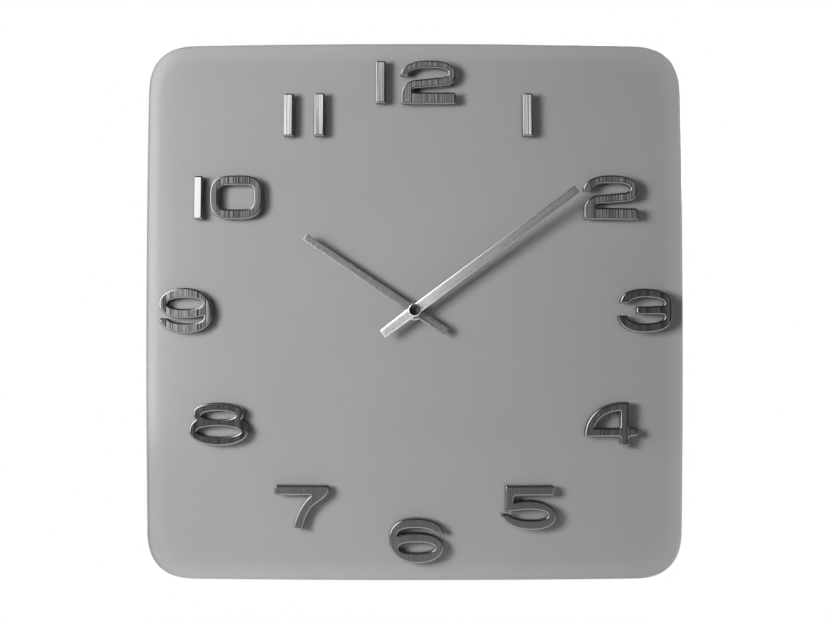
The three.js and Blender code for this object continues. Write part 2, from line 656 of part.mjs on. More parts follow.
// The housing: a shallow moulded pan with a floor on the wall, a skirt up to the glass, a
// flange for the tape, a well round the movement, ribs and a keyhole slot.
function backHousing() {
  const section = (inset, height) => {
    const corner = Math.max(HOUSING_CORNER - inset, 3);
    return softSquare(HOUSING_HALF - inset, corner, 2, 8, 4).map(
      (p) => new THREE.Vector3(p.x, p.y, height(p.x, p.y)),
    );
  };
  const behindGlass = (offset) => (x, y) => domeHeight(x, y, GLASS_THICKNESS) + offset;
  const level = (z) => () => z;
  const flangeEdge = HOUSING_DRAFT + FLANGE_WIDTH;
  const floorJoint = HOUSING_WALL + 4;
  const skirt = ringLoft([
    section(flangeEdge, behindGlass(FLANGE_FRONT)),
    section(HOUSING_DRAFT, behindGlass(FLANGE_FRONT)),
    section(0, level(REAR_BEVEL)),
    section(REAR_BEVEL, level(0)),
    section(floorJoint, level(0)),
    section(floorJoint, level(HOUSING_FLOOR)),
    section(HOUSING_WALL, level(HOUSING_FLOOR)),
    section(HOUSING_DRAFT + HOUSING_WALL, behindGlass(FLANGE_REAR)),
    section(flangeEdge, behindGlass(FLANGE_REAR)),
  ]);

  const entryY = NAIL_ABOVE_AXIS - SLOT_DROP;
  const slotHalf = SLOT_WIDTH / 2;
  const spread = Math.asin(slotHalf / ENTRY_RADIUS);
  const keyhole = [];
  for (let i = 0; i <= 8; i++) {
    const angle = (Math.PI * i) / 8;
    keyhole.push(
      new THREE.Vector2(
        slotHalf * Math.cos(angle),
        NAIL_ABOVE_AXIS + slotHalf * Math.sin(angle),
      ),
    );
  }
  for (let i = 0; i <= 18; i++) {
    const angle = Math.PI / 2 + spread + ((TAU - 2 * spread) * i) / 18;
    keyhole.push(
      new THREE.Vector2(
        ENTRY_RADIUS * Math.cos(angle),
        entryY + ENTRY_RADIUS * Math.sin(angle),
      ),
    );
  }

  const window = roundedBox(-WELL_HALF, -WELL_RISE, WELL_HALF, WELL_RISE, 4);
  const wellOuter = WELL_HALF + WELL_WALL;
  const wellTall = WELL_RISE + WELL_WALL;
  const floor = slab(
    softSquare(HOUSING_HALF - floorJoint + 1.5, HOUSING_CORNER - floorJoint + 1.5, 2, 1, 4),
    [HOUSING_FLOOR, 0],
    [window, keyhole],
  );
  const wellTop = domeHeight(wellOuter, wellTall, GLASS_THICKNESS) - 0.6;
  const well = slab(
    roundedBox(-wellOuter, -wellTall, wellOuter, wellTall, 4 + WELL_WALL),
    [wellTop, 0],
    [window],
  );
  const ribs = [];
  const ribEnd = HOUSING_HALF - HOUSING_WALL / 2;
  for (let side = 0; side < 4; side++) {
    const ribStart = (side % 2 ? WELL_RISE : WELL_HALF) + WELL_WALL / 2;
    for (const offset of [-RIB_OFFSET, RIB_OFFSET]) {
      const rib = new THREE.BoxGeometry(
        ribEnd - ribStart,
        RIB_THICKNESS,
        RIB_HEIGHT + HOUSING_FLOOR / 2,
      );
      rib.translate((ribStart + ribEnd) / 2, offset, HOUSING_FLOOR + RIB_HEIGHT / 2 - HOUSING_FLOOR / 4);
      ribs.push(rib.rotateZ((side * Math.PI) / 2));
    }
  }
  return joined(skirt, floor, well, ...ribs);
}

// One strip of tape on the top flange, bent to the dome; turned for the other three sides.
function tape() {
  const length = 2 * (HOUSING_HALF - HOUSING_CORNER) - 20;
  const middle = HOUSING_HALF - HOUSING_DRAFT - FLANGE_WIDTH / 2;
  const geometry = new THREE.BoxGeometry(length, TAPE_WIDTH, TAPE_THICKNESS, 7, 1, 1);
  geometry.translate(0, middle, TAPE_FRONT - TAPE_THICKNESS / 2);
  const place = geometry.attributes.position;
  for (let i = 0; i < place.count; i++) {
    const height = domeHeight(place.getX(i), place.getY(i), GLASS_THICKNESS);
    place.setZ(i, place.getZ(i) + height);
  }
  return geometry;
}

// A straight tapered hand that points up, with a round hub and a bore for its tube.
function hand(reach, tipWidth, tail, tailWidth, bore) {
  const outline = [
    new THREE.Vector2(-tailWidth / 2, -tail),
    new THREE.Vector2(tailWidth / 2, -tail),
    new THREE.Vector2(HAND_WIDTH / 2, 0),
    new THREE.Vector2(tipWidth / 2, reach),
    new THREE.Vector2(-tipWidth / 2, reach),
    new THREE.Vector2(-HAND_WIDTH / 2, 0),
  ];
  const blade = bevelledPlate(outline, [], HAND_THICKNESS, HAND_BEVEL);
  const hub = rod(bore + HUB_WALL, [HAND_THICKNESS, 0], 24);
  return cut(joined(blade, hub), rod(bore, [HAND_THICKNESS + 1, -1], 20));
}

function minuteHand() {
  const bore = ARBOR_RADIUS + PLAY;
  const blade = hand(MINUTE_REACH, MINUTE_TIP_WIDTH, MINUTE_TAIL, MINUTE_TAIL_WIDTH, bore);
  const colletLength = MINUTE_HAND_REAR - COLLET_REAR;
  const collet = tube(bore + HUB_WALL, bore, [HAND_THICKNESS, -colletLength], 20);
  return joined(blade, collet);
}

function capNut() {
  const pocket = PLUG_RADIUS + PLAY;
  const bore = ARBOR_RADIUS + PLAY;
  return turned(
    [
      [bore, CAP_REAR],
      [CAP_RADIUS, CAP_REAR],
      [CAP_RADIUS, CAP_FRONT - 0.6],
      [CAP_RADIUS - 0.45, CAP_FRONT],
      [pocket, CAP_FRONT],
      [pocket, CAP_POCKET],
      [0, CAP_POCKET],
      [0, CAP_BORE_FRONT],
      [bore, CAP_BORE_FRONT],
      [bore, CAP_REAR],
    ],
    24,
  );
}

function fixingNut() {
  const bevel = 0.4;
  return turned(
    [
      [GLASS_HOLE, NUT_REAR],
      [NUT_RADIUS, NUT_REAR],
      [NUT_RADIUS, NUT_FRONT - bevel],
      [NUT_RADIUS - bevel, NUT_FRONT],
      [GLASS_HOLE, NUT_FRONT],
      [GLASS_HOLE, NUT_REAR],
    ],
    24,
  );
}

// The arbor that carries the minute hand, with its cannon pinion.
function minuteArbor() {
  const shoulder = CENTRE_WHEEL_AT[1] - SEAT;
  const shaft = turned(
    [
      [0, BRIDGE_AT[1] - 2 * SEAT],
      [ARBOR_PIVOT_RADIUS, BRIDGE_AT[1] - 2 * SEAT],
      [ARBOR_PIVOT_RADIUS, shoulder],
      [ARBOR_RADIUS, shoulder],
      [ARBOR_RADIUS, ARBOR_FRONT],
      [0, ARBOR_FRONT],
    ],
    20,
  );
  return joined(shaft, slab(gearOutline(MOTION_MODULE, CANNON_TEETH, 0), CANNON_AT));
}

const MINUTE_WHEEL_PHASE = meshedPhase(
  0,
  CANNON_TEETH,
  MINUTE_WHEEL_BEARING,
  MINUTE_WHEEL_TEETH,
);

// The hour wheel with the pipe that carries the hour hand.
function hourWheel() {
  const phase = meshedPhase(
    0,
    MINUTE_PINION_TEETH,
    MINUTE_WHEEL_BEARING + 180,
    HOUR_WHEEL_TEETH,
  );
  const wheel = slab(gearOutline(HOUR_MODULE, HOUR_WHEEL_TEETH, phase), HOUR_WHEEL_AT, [
    circle(PIPE_BORE + PIPE_WALL / 2, 20),
  ]);
  return joined(wheel, tube(PIPE_RADIUS, PIPE_BORE, [PIPE_FRONT, HOUR_WHEEL_AT[1]], 20));
}

// Wheel and pinion of the motion work, turning on a stud of the case.
function minuteWheel() {
  const bore = STUD_RADIUS + 0.25;
  const hole = [circle(bore, 12)];
  const wheel = gearOutline(MOTION_MODULE, MINUTE_WHEEL_TEETH, MINUTE_WHEEL_PHASE);
  const pinion = gearOutline(HOUR_MODULE, MINUTE_PINION_TEETH, 0);
  return joined(
    slab(wheel, MINUTE_WHEEL_AT, hole),
    slab(pinion, [MINUTE_PINION_AT[0], MINUTE_PINION_AT[1] - 0.6], hole),
  );
}

// Knob, shaft and pinion that set the hands from behind.
function settingKnob() {
  const phase = meshedPhase(
    MINUTE_WHEEL_PHASE,
    MINUTE_WHEEL_TEETH,
    SETTING_BEARING,
    SETTING_TEETH,
  );
  const flutes = Array.from({ length: KNOB_FLUTES * 4 }, (_, i) => {
    const angle = (TAU * i) / (KNOB_FLUTES * 4);
    const radius = KNOB_RADIUS - (i % 4 === 3 ? 0.55 : 0);
    return new THREE.Vector2(radius * Math.cos(angle), radius * Math.sin(angle));
  });
  const shaft = turned(
    [
      [0, KNOB_AT[0] - 0.5],
      [KNOB_SHAFT_RADIUS, KNOB_AT[0] - 0.5],
      [KNOB_SHAFT_RADIUS, CANNON_AT[0]],
      [PIVOT_RADIUS, CANNON_AT[0]],
      [PIVOT_RADIUS, PIVOT_FRONT],
      [0, PIVOT_FRONT],
    ],
    16,
  );
  const pinion = slab(gearOutline(MOTION_MODULE, SETTING_TEETH, phase), CANNON_AT);
  return joined(slab(flutes, KNOB_AT), shaft, pinion);
}

const centreWheel = () =>
  slab(gearOutline(TRAIN_MODULE, CENTRE_TEETH, 0), CENTRE_WHEEL_AT, [
    circle(ARBOR_RADIUS + PLAY, 20),
  ]);

// A pivot from the bridge to the front of the case, with whatever turns on it.
const pivot = () => rod(PIVOT_RADIUS, [PIVOT_FRONT, PIVOT_REAR], 10);

function thirdWheel() {
  const phase = meshedPhase(0, CENTRE_TEETH, THIRD_BEARING, THIRD_PINION_TEETH);
  const pinion = gearOutline(TRAIN_MODULE, THIRD_PINION_TEETH, phase);
  return joined(
    pivot(),
    slab(gearOutline(TRAIN_MODULE, THIRD_TEETH, 0), THIRD_WHEEL_AT),
    slab(pinion, [THIRD_PINION_AT[0], THIRD_PINION_AT[1] - 0.5]),
  );
}

function rotor() {
  const phase = meshedPhase(0, THIRD_TEETH, ROTOR_BEARING, ROTOR_TEETH);
  return joined(
    pivot(),
    slab(gearOutline(TRAIN_MODULE, ROTOR_TEETH, phase), ROTOR_PINION_AT),
    rod(MAGNET_RADIUS, MAGNET_AT, 20),
  );
}

// The case: a tray open to the rear, with the battery's bay below and the train above.
const POSTS = [
  [-1, TRAIN_LOW + 3.9],
  [1, TRAIN_LOW + 3.9],
  [-1, TRAIN_LOW + 22.9],
  [1, TRAIN_LOW + 22.9],
];

function movementCase() {
  const inner = CASE_INNER_HALF;
  const body = slab(
    roundedBox(-CASE_HALF, -CASE_RISE, CASE_HALF, CASE_RISE, CASE_CORNER),
    [CASE_FRONT, CASE_REAR],
  );
  const open = [CASE_INSIDE, CASE_REAR - 1];
  const holeDepth = [PIVOT_FRONT + SEAT, CASE_INSIDE - 1];
  const pivotHole = (axis) => rod(PIVOT_RADIUS + PLAY, holeDepth, 10, axis);
  const hollow = cut(
    body,
    slab(roundedBox(-inner, BAY_LOW, inner, BAY_HIGH, 1, 2), open),
    slab(roundedBox(-inner, TRAIN_LOW, inner, CASE_INNER_RISE, 1.5, 2), open),
    rod(GLASS_HOLE, [CASE_FRONT + 1, CASE_INSIDE - 1], 20),
    ...[SETTING_AXIS, THIRD_AXIS, ROTOR_AXIS].map(pivotHole),
  );
  const stud = rod(
    STUD_RADIUS,
    [CASE_INSIDE + CASE_FACE / 2, MINUTE_WHEEL_AT[1] - SEAT],
    10,
    MINUTE_WHEEL_AXIS,
  );
  const posts = POSTS.map(([side, y]) => {
    const at = new THREE.Vector2(side * (inner - POST_RADIUS - 0.8), y);
    return rod(POST_RADIUS, [CASE_INSIDE + CASE_FACE / 2, BRIDGE_AT[0] + SEAT], 12, at);
  });
  return joined(hollow, stud, ...posts);
}

function movementCover() {
  const half = CASE_INNER_HALF - PLAY;
  const top = CASE_INNER_RISE - PLAY;
  return slab(roundedBox(-half, TRAIN_LOW + PLAY, half, top, 1.5, 2), COVER_AT, [
    circle(KNOB_SHAFT_RADIUS + PLAY, 16, SETTING_AXIS),
  ]);
}

function trainBridge() {
  const half = CASE_INNER_HALF - 0.5;
  const pivotHole = (axis) => circle(PIVOT_RADIUS + PLAY, 10, axis);
  return slab(roundedBox(-half, TRAIN_LOW + PLAY, half, TRAIN_LOW + BRIDGE_RISE, 2, 2), BRIDGE_AT, [
    circle(ARBOR_PIVOT_RADIUS + PLAY, 16),
    circle(KNOB_SHAFT_RADIUS + PLAY, 16, SETTING_AXIS),
    pivotHole(THIRD_AXIS),
    pivotHole(ROTOR_AXIS),
  ]);
}

// The motor: a stator plate round the magnet, and a core through the coil that closes it.
const COIL_Y = CASE_INNER_RISE - COIL_RADIUS - 2.4;
const COIL_X = ROTOR_AXIS.x + 4.8;
const STATOR_LEFT = COIL_X - COIL_LENGTH / 2 - SEAT - STATOR_ARM;
const STATOR_RIGHT = COIL_X + COIL_LENGTH / 2 + SEAT + STATOR_ARM;

function stator() {
  const low = ROTOR_AXIS.y - MAGNET_RADIUS - MAGNET_GAP - 2;
  const high = ROTOR_AXIS.y + MAGNET_RADIUS + MAGNET_GAP + 2;
  const end = COIL_Y + CORE_WIDTH / 2;
  const outline = [
    [STATOR_LEFT, low],
    [STATOR_RIGHT, low],
    [STATOR_RIGHT, end],
    [STATOR_RIGHT - STATOR_ARM, end],
    [STATOR_RIGHT - STATOR_ARM, high],
    [STATOR_LEFT + STATOR_ARM, high],
    [STATOR_LEFT + STATOR_ARM, end],
    [STATOR_LEFT, end],
  ].map(([x, y]) => new THREE.Vector2(x, y));
  return slab(outline, STATOR_AT, [
    circle(MAGNET_RADIUS + MAGNET_GAP, 20, ROTOR_AXIS),
    circle(PIVOT_RADIUS + 2 * PLAY, 10, THIRD_AXIS),
  ]);
}

const coilCore = () =>
  slab(
    box(STATOR_LEFT, COIL_Y - CORE_WIDTH / 2, STATOR_RIGHT, COIL_Y + CORE_WIDTH / 2),
    CORE_AT,
  );

function coil() {
  const half = COIL_LENGTH / 2;
  const winding = COIL_RADIUS - 0.45;
  const body = new THREE.LatheGeometry(
    [
      [0, -half],
      [COIL_RADIUS, -half],
      [COIL_RADIUS, COIL_CHEEK - half],
      [winding, COIL_CHEEK - half],
      [winding, half - COIL_CHEEK],
      [COIL_RADIUS, half - COIL_CHEEK],
      [COIL_RADIUS, half],
      [0, half],
    ].map(([radius, y]) => new THREE.Vector2(radius, y)),
    16,
  ).rotateZ(-Math.PI / 2);
  const passage = new THREE.BoxGeometry(
    COIL_LENGTH + 2,
    CORE_WIDTH + 2 * PLAY,
    STATOR_THICKNESS + 2 * PLAY,
  );
  return cut(body, passage);
}

// The board on the bridge, with the sealed chip on its front.
const BOARD_LEFT = 8;
const BOARD_RIGHT = CASE_INNER_HALF - 5;
function circuitBoard() {
  const low = TRAIN_LOW + 1.4;
  const high = TRAIN_LOW + 11.9;
  const board = slab(box(BOARD_LEFT, low, BOARD_RIGHT, high), BOARD_AT);
  const chip = turned(
    [
      [0, BOARD_AT[1] + BOARD_THICKNESS / 2],
      [2.6, BOARD_AT[1] + BOARD_THICKNESS / 2],
      [2.6, BOARD_AT[0]],
      [1.6, BOARD_AT[0] + 0.6],
      [0, BOARD_AT[0] + 0.8],
    ],
    12,
    new THREE.Vector2((BOARD_LEFT + BOARD_RIGHT) / 2 + 2.5, low + 3.8),
  );
  return joined(board, chip);
}

function battery() {
  const end = BATTERY_LENGTH / 2;
  const shoulder = end - BATTERY_NUB;
  return new THREE.LatheGeometry(
    [
      [0, -end],
      [BATTERY_RADIUS - 0.6, -end],
      [BATTERY_RADIUS, -end + 0.6],
      [BATTERY_RADIUS, shoulder - 0.8],
      [BATTERY_RADIUS - 0.8, shoulder],
      [BATTERY_NUB_RADIUS, shoulder],
      [BATTERY_NUB_RADIUS, end],
      [0, end],
    ].map(([radius, y]) => new THREE.Vector2(radius, y)),
    20,
  ).rotateZ(-Math.PI / 2);
}

// A sprung plate at one end of the bay, with a round boss that presses on the cell.
function contact() {
  const plate = new THREE.BoxGeometry(CONTACT_THICKNESS, 9, 10);
  const boss = new THREE.CylinderGeometry(1.6, 2, CONTACT_THICKNESS + 0.25, 12)
    .rotateZ(Math.PI / 2)
    .translate(-0.125, 0, 0);
  return joined(plate, boss);
}

const clock = new THREE.Group();
const dial = new THREE.Group();
dial.rotation.x = Math.PI / 2;
dial.position.z = -NAIL_ABOVE_AXIS;
clock.add(dial);

function place(name, geometry, color, roughness, metalness, parent = dial) {
  const material = new THREE.MeshStandardMaterial({ color, roughness, metalness });
  const mesh = new THREE.Mesh(geometry, material);
  mesh.name = name;
  parent.add(mesh);
  return mesh;
}

const BLACK_PLASTIC = [0x1d1d1f, 0.55, 0];
const BRASS = [0xc9a24b, 0.3, 1];
const STEEL = [0xc4c4c2, 0.3, 1];
const CHROME = [0xe2e2e4, 0.12, 1];
const NYLON = [0xe8e6dc, 0.5, 0];

place("glass_face", glassFace(), 0x9c9c9b, 0.08, 0);
place("back_housing", backHousing(), ...BLACK_PLASTIC);
for (const [index, side] of ["top", "left", "bottom", "right"].entries()) {
  const strip = place("foam_tape_" + side, tape(), 0xd8d8d4, 0.9, 0);
  strip.rotation.z = (index * Math.PI) / 2;
}

// The numerals, each flat on the plane that touches the dome at its middle.
for (const [name, hour, shift, outline, counters] of NUMERALS) {
  const margin = hour % 3 === 0 ? MARGIN_ON_AXES : MARGIN_OFF_AXES;
  const radius = GLASS_HALF - margin;
  const angle = degrees(30 * hour);
  const x = radius * Math.sin(angle) + drawnSize(shift);
  const y = radius * Math.cos(angle);
  const normal = new THREE.Vector3(x, y, domeHeight(x, y) - APEX + DOME_RADIUS).normalize();
  const geometry = bevelledPlate(outline, counters, NUMERAL_HEIGHT, NUMERAL_BEVEL);
  const numeral = place(name, geometry, 0x8f8f90, 0.28, 1);
  numeral.quaternion.setFromUnitVectors(new THREE.Vector3(0, 0, 1), normal);
  numeral.position.set(x, y, domeHeight(x, y)).addScaledVector(normal, SEAT);
}

// Front of the axis
const frontWasher = [FRONT_WASHER_REAR + FRONT_WASHER_THICKNESS, FRONT_WASHER_REAR];
place("front_washer", tube(NUT_RADIUS - 0.5, GLASS_HOLE, frontWasher, 24), 0x2a2a2a, 0.8, 0);
place("fixing_nut", fixingNut(), ...STEEL);
place("centre_bush", tube(BUSH_RADIUS, BUSH_BORE, [BUSH_FRONT, CASE_INSIDE], 24), ...BRASS);

const hourHand = place(
  "hour_hand",
  hand(HOUR_REACH, HOUR_TIP_WIDTH, HOUR_TAIL, HOUR_TAIL_WIDTH, PIPE_RADIUS + PLAY),
  0xb9b9b8,
  0.3,
  1,
);
hourHand.position.z = HOUR_HAND_REAR;
hourHand.rotation.z = -degrees(HOUR_ANGLE);
const minute = place("minute_hand", minuteHand(), 0xcfcfce, 0.3, 1);
minute.position.z = MINUTE_HAND_REAR;
minute.rotation.z = -degrees(MINUTE_ANGLE);
place("cap_nut", capNut(), ...CHROME);
place("hub_plug", rod(PLUG_RADIUS, [PLUG_FRONT, PLUG_REAR], 24), 0x18181a, 0.3, 0);

// Movement
const movement = new THREE.Group();
dial.add(movement);
const inside = (name, geometry, look) => place(name, geometry, ...look, movement);
const at = (mesh, axis) => mesh.position.set(axis.x, axis.y, 0);
const washer = [WASHER_FRONT, WASHER_REAR];
inside("movement_washer", tube(MOVEMENT_WASHER_RADIUS, GLASS_HOLE, washer, 24), [0x222222, 0.9, 0]);
inside("movement_case", movementCase(), BLACK_PLASTIC);
inside("movement_cover", movementCover(), BLACK_PLASTIC);
inside("train_bridge", trainBridge(), [0xdedcd2, 0.5, 0]);
inside("minute_arbor", minuteArbor(), STEEL);
inside("centre_wheel", centreWheel(), NYLON);
inside("hour_wheel", hourWheel(), NYLON);
at(inside("minute_wheel", minuteWheel(), NYLON), MINUTE_WHEEL_AXIS);
at(inside("setting_knob", settingKnob(), NYLON), SETTING_AXIS);
at(inside("third_wheel", thirdWheel(), NYLON), THIRD_AXIS);
at(inside("rotor", rotor(), [0x55565a, 0.4, 0.6]), ROTOR_AXIS);
inside("stator", stator(), STEEL);
inside("coil_core", coilCore(), STEEL);
inside("coil", coil(), [0xa4562a, 0.4, 0.7]).position.set(
  COIL_X,
  COIL_Y,
  (CORE_AT[0] + CORE_AT[1]) / 2,
);
inside("circuit_board", circuitBoard(), [0x8a6a34, 0.6, 0]);
const crystal = new THREE.CylinderGeometry(CRYSTAL_RADIUS, CRYSTAL_RADIUS, CRYSTAL_LENGTH, 12);
inside("quartz_crystal", crystal.rotateZ(Math.PI / 2), STEEL).position.set(
  (BOARD_LEFT + BOARD_RIGHT) / 2,
  TRAIN_LOW + 9.4,
  BOARD_AT[0] + SEAT + CRYSTAL_RADIUS,
);
inside("battery", battery(), [0x3c4a58, 0.4, 0.2]).position.set(0, BATTERY_Y, BATTERY_Z);
const contactX = CASE_INNER_HALF - SEAT - CONTACT_THICKNESS / 2;
inside("battery_contact_positive", contact(), STEEL).position.set(
  contactX,
  BATTERY_Y,
  BATTERY_Z,
);
const negative = inside("battery_contact_negative", contact(), STEEL);
negative.position.set(-contactX, BATTERY_Y, BATTERY_Z);
negative.rotation.z = Math.PI;

export default clock;
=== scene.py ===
"""Looks of a square wall clock: domed grey glass, raised bevelled numerals, straight metal
hands, and the moulded housing and battery movement behind.

Shapes are drawn in the dial's own frame, in millimetres: x to the right and y up to the 12
as seen from the front, z away from the wall, with the hands' axis at x = y = 0. in_row()
turns them into the row's frame, in metres.
"""

import math
import re

import bpy
from mathutils import Matrix, Vector
from mathutils.geometry import tessellate_polygon


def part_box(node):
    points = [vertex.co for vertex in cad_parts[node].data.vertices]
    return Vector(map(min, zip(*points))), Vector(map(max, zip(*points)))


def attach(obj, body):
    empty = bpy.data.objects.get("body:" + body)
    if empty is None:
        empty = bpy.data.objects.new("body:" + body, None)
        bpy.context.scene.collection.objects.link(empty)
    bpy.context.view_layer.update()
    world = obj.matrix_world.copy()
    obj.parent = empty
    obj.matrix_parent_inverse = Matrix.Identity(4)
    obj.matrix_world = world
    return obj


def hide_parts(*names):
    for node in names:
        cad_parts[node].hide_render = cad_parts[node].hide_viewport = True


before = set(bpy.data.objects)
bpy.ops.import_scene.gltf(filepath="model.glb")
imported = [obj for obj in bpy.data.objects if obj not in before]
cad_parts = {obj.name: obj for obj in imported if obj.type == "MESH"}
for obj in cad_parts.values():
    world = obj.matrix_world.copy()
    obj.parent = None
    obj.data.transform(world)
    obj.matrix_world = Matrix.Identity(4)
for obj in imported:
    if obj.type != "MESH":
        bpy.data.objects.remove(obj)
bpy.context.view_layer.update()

TAU = 2 * math.pi

# How finely shapes are drawn: the length of a curve's steps, the degrees between the steps
# of a rounded rim, and the least turn, in degrees, that counts as a sharp corner
CURVE_STEP = 0.9
RIM_STEP = 15
LEAST_CORNER = 30

# Sizes of the clock in millimetres and degrees, as the solids have them
NAIL_ABOVE_AXIS = 58
HOUR_REACH = 85.1
MINUTE_REACH = 130.3
HOUR_ANGLE = 303.8
MINUTE_ANGLE = 53.3
HOUR_LEVEL = 31.3
MINUTE_LEVEL = 35.6
HAND_ROOT = 3.25
APEX = 28
DOME_RADIUS = 1300
GLASS_HALF = 175
GLASS_THICKNESS = 4
CORNER = 33
CORNER_POWER = 2.65
GLASS_HOLE = 4.3
COAT_FRONT = 0.04
COAT_REAR = 0.12
NUMERAL_HEIGHT = 4.5
NUMERAL_BEVEL = 1.1
RING_ON_AXES = 148.2
RING_OFF_AXES = 146.6
NUMERAL_FOOT = 0.12
SEAT = 0.3
HOUSING_HALF = 143
HOUSING_CORNER = 18
HOUSING_FLOOR = 2.5
WALL_INSET = 6.2
FLANGE_INSET = 9
FLANGE_FRONT = -1.75
FLANGE_REAR = -3.75
SLOT_HALF = 2.5
ENTRY_RADIUS = 5
ENTRY_DROP = 11
RIB_HALF = 0.75
WELL_HALF = 29.2
WELL_WALL = 1.8
CASE_HALF = 28
CASE_INNER = 26.5
SETTING_AXIS = (16.1955, 8.7022)
GEAR_MODULE = 0.4
WHEEL_TEETH = 36
PINION_TEETH = 12
BATTERY_PLACE = (0, -18.7, 13.15)
COIL_TURNS = 54
COIL_LENGTH = 17.6
WIRE_RADIUS = 0.162


def in_row(point):
    """A point of the dial's frame, in the row's frame."""
    x, y, z = point
    return Vector((x, -z, y - NAIL_ABOVE_AXIS)) * 0.001


# Meshes


def make_piece(name, parts, materials, body, replaces, sharp=35, matrix=None):
    """One object from (corners, faces, material numbers) parts drawn in the dial's frame."""
    corners, faces, numbers = [], [], []
    for part_corners, part_faces, part_numbers in parts:
        start = len(corners)
        for corner in part_corners:
            point = Vector(corner)
            corners.append(in_row(matrix @ point if matrix else point))
        faces += [[start + i for i in face] for face in part_faces]
        numbers += list(part_numbers)
    mesh = bpy.data.meshes.new(name)
    mesh.from_pydata(corners, [], faces)
    for material in materials:
        mesh.materials.append(material)
    mesh.polygons.foreach_set("material_index", numbers)
    mesh.shade_smooth()
    mesh.set_sharp_from_angle(angle=math.radians(sharp))
    mesh.update()
    piece = bpy.data.objects.new(name, mesh)
    bpy.context.scene.collection.objects.link(piece)
    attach(piece, body)
    if replaces:
        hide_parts(*replaces)


def circle(radius, steps, centre=(0, 0)):
    angles = [TAU * (i + 0.5) / steps for i in range(steps)]
    return [
        (centre[0] + radius * math.cos(angle), centre[1] + radius * math.sin(angle))
        for angle in angles
    ]


def soft_square(half, corner, power, side_steps, corner_steps):
    """A square with superelliptic corners, from the foot of its right side."""
    straight = half - corner
    quarter = [(half, straight * (2 * i / side_steps - 1)) for i in range(side_steps)]
    for i in range(corner_steps):
        angle = i / corner_steps * math.pi / 2
        quarter.append(
            (
                straight + corner * math.cos(angle) ** (2 / power),
                straight + corner * math.sin(angle) ** (2 / power),
            )
        )
    points = []
    for _ in range(4):
        points += quarter
        quarter = [(-y, x) for x, y in quarter]
    return points


def rounded_box(left, low, right, high, radius, steps):
    points = []
    for x, y, start in (
        (right - radius, low + radius, -0.25),
        (right - radius, high - radius, 0),
        (left + radius, high - radius, 0.25),
        (left + radius, low + radius, 0.5),
    ):
        for i in range(steps + 1):
            angle = TAU * (start + 0.25 * i / steps)
            points.append((x + radius * math.cos(angle), y + radius * math.sin(angle)))
    return points


def area(points):
    return sum(
        a[0] * b[1] - b[0] * a[1] for a, b in zip(points, points[1:] + points[:1])
    )


def moved_left(points, distance):
    """An outline moved to its left, which is into the material, with mitred corners."""
    if not distance:
        return points
    moved = []
    for i, point in enumerate(points):
        before, after = points[i - 1], points[(i + 1) % len(points)]
        a = Vector((point[0] - before[0], point[1] - before[1])).normalized()
        b = Vector((after[0] - point[0], after[1] - point[1])).normalized()
        left = Vector((-a.y - b.y, a.x + b.x)).normalized()
        stretch = min(1 / max(left.dot(Vector((-a.y, a.x))), 0.2), 3)
        moved.append(
            (
                point[0] + left.x * distance * stretch,
                point[1] + left.y * distance * stretch,
            )
        )
    return moved


def softened(points, radius):
    """An outline whose sharp corners are rounded off."""
    soft = []
    for i, point in enumerate(points):
        here = Vector(point)
        back = Vector(points[i - 1]) - here
        ahead = Vector(points[(i + 1) % len(points)]) - here
        turn = math.pi - back.angle(ahead)
        if math.degrees(turn) < LEAST_CORNER:
            soft.append(point)
            continue
        cut = min(radius * math.tan(turn / 2), 0.45 * back.length, 0.45 * ahead.length)
        first, last = here + back.normalized() * cut, here + ahead.normalized() * cut
        for step in range(6):
            s = step / 5
            soft.append(tuple(first * (1 - s) ** 2 + here * (2 * s * (1 - s)) + last * s * s))
    return soft


def plate(outline, holes, profile, front=0, side=1, rear=1, crown=math.inf):
    """A closed plate. profile lists its (inset, z) levels from the rear to the front, and
    from the level called crown the edge has the finish of the front."""
    contours = [outline if area(outline) > 0 else outline[::-1]]
    contours += [hole[::-1] if area(hole) > 0 else hole for hole in holes]
    corners, faces, numbers = [], [], []
    levels = [([moved_left(c, inset) for c in contours], z) for inset, z in profile]
    count = sum(len(c) for c in contours)
    for rings, z in levels:
        corners += [(x, y, z) for ring in rings for x, y in ring]
    for level in range(len(levels) - 1):
        start = level * count
        for contour in contours:
            for i in range(len(contour)):
                here, following = start + i, start + (i + 1) % len(contour)
                faces.append((here, following, following + count, here + count))
                numbers.append(side if level < crown else front)
            start += len(contour)
    for level, number in ((0, rear), (len(levels) - 1, front)):
        rings, z = levels[level]
        for face in tessellate_polygon([[Vector((x, y, 0)) for x, y in r] for r in rings]):
            flat = [corners[i] for i in face]
            if (area(flat) > 0) == (level == 0):
                face = face[::-1]
            faces.append([level * count + i for i in face])
            numbers.append(number)
    return corners, faces, numbers


def plain_plate(outline, holes, profile):
    """A plate with one finish all over."""
    return plate(outline, holes, profile, 0, 0, 0)


def ring_loft(sections):
    """A closed ring through sections that run outwards on the front, inwards on the rear."""
    count = len(sections[0])
    corners = [corner for section in sections for corner in section]
    faces = []
    for s in range(len(sections)):
        near, far = s * count, (s + 1) % len(sections) * count
        for i in range(count):
            after = (i + 1) % count
            faces.append((near + i, far + i, far + after, near + after))
    return corners, faces, [0] * len(faces)


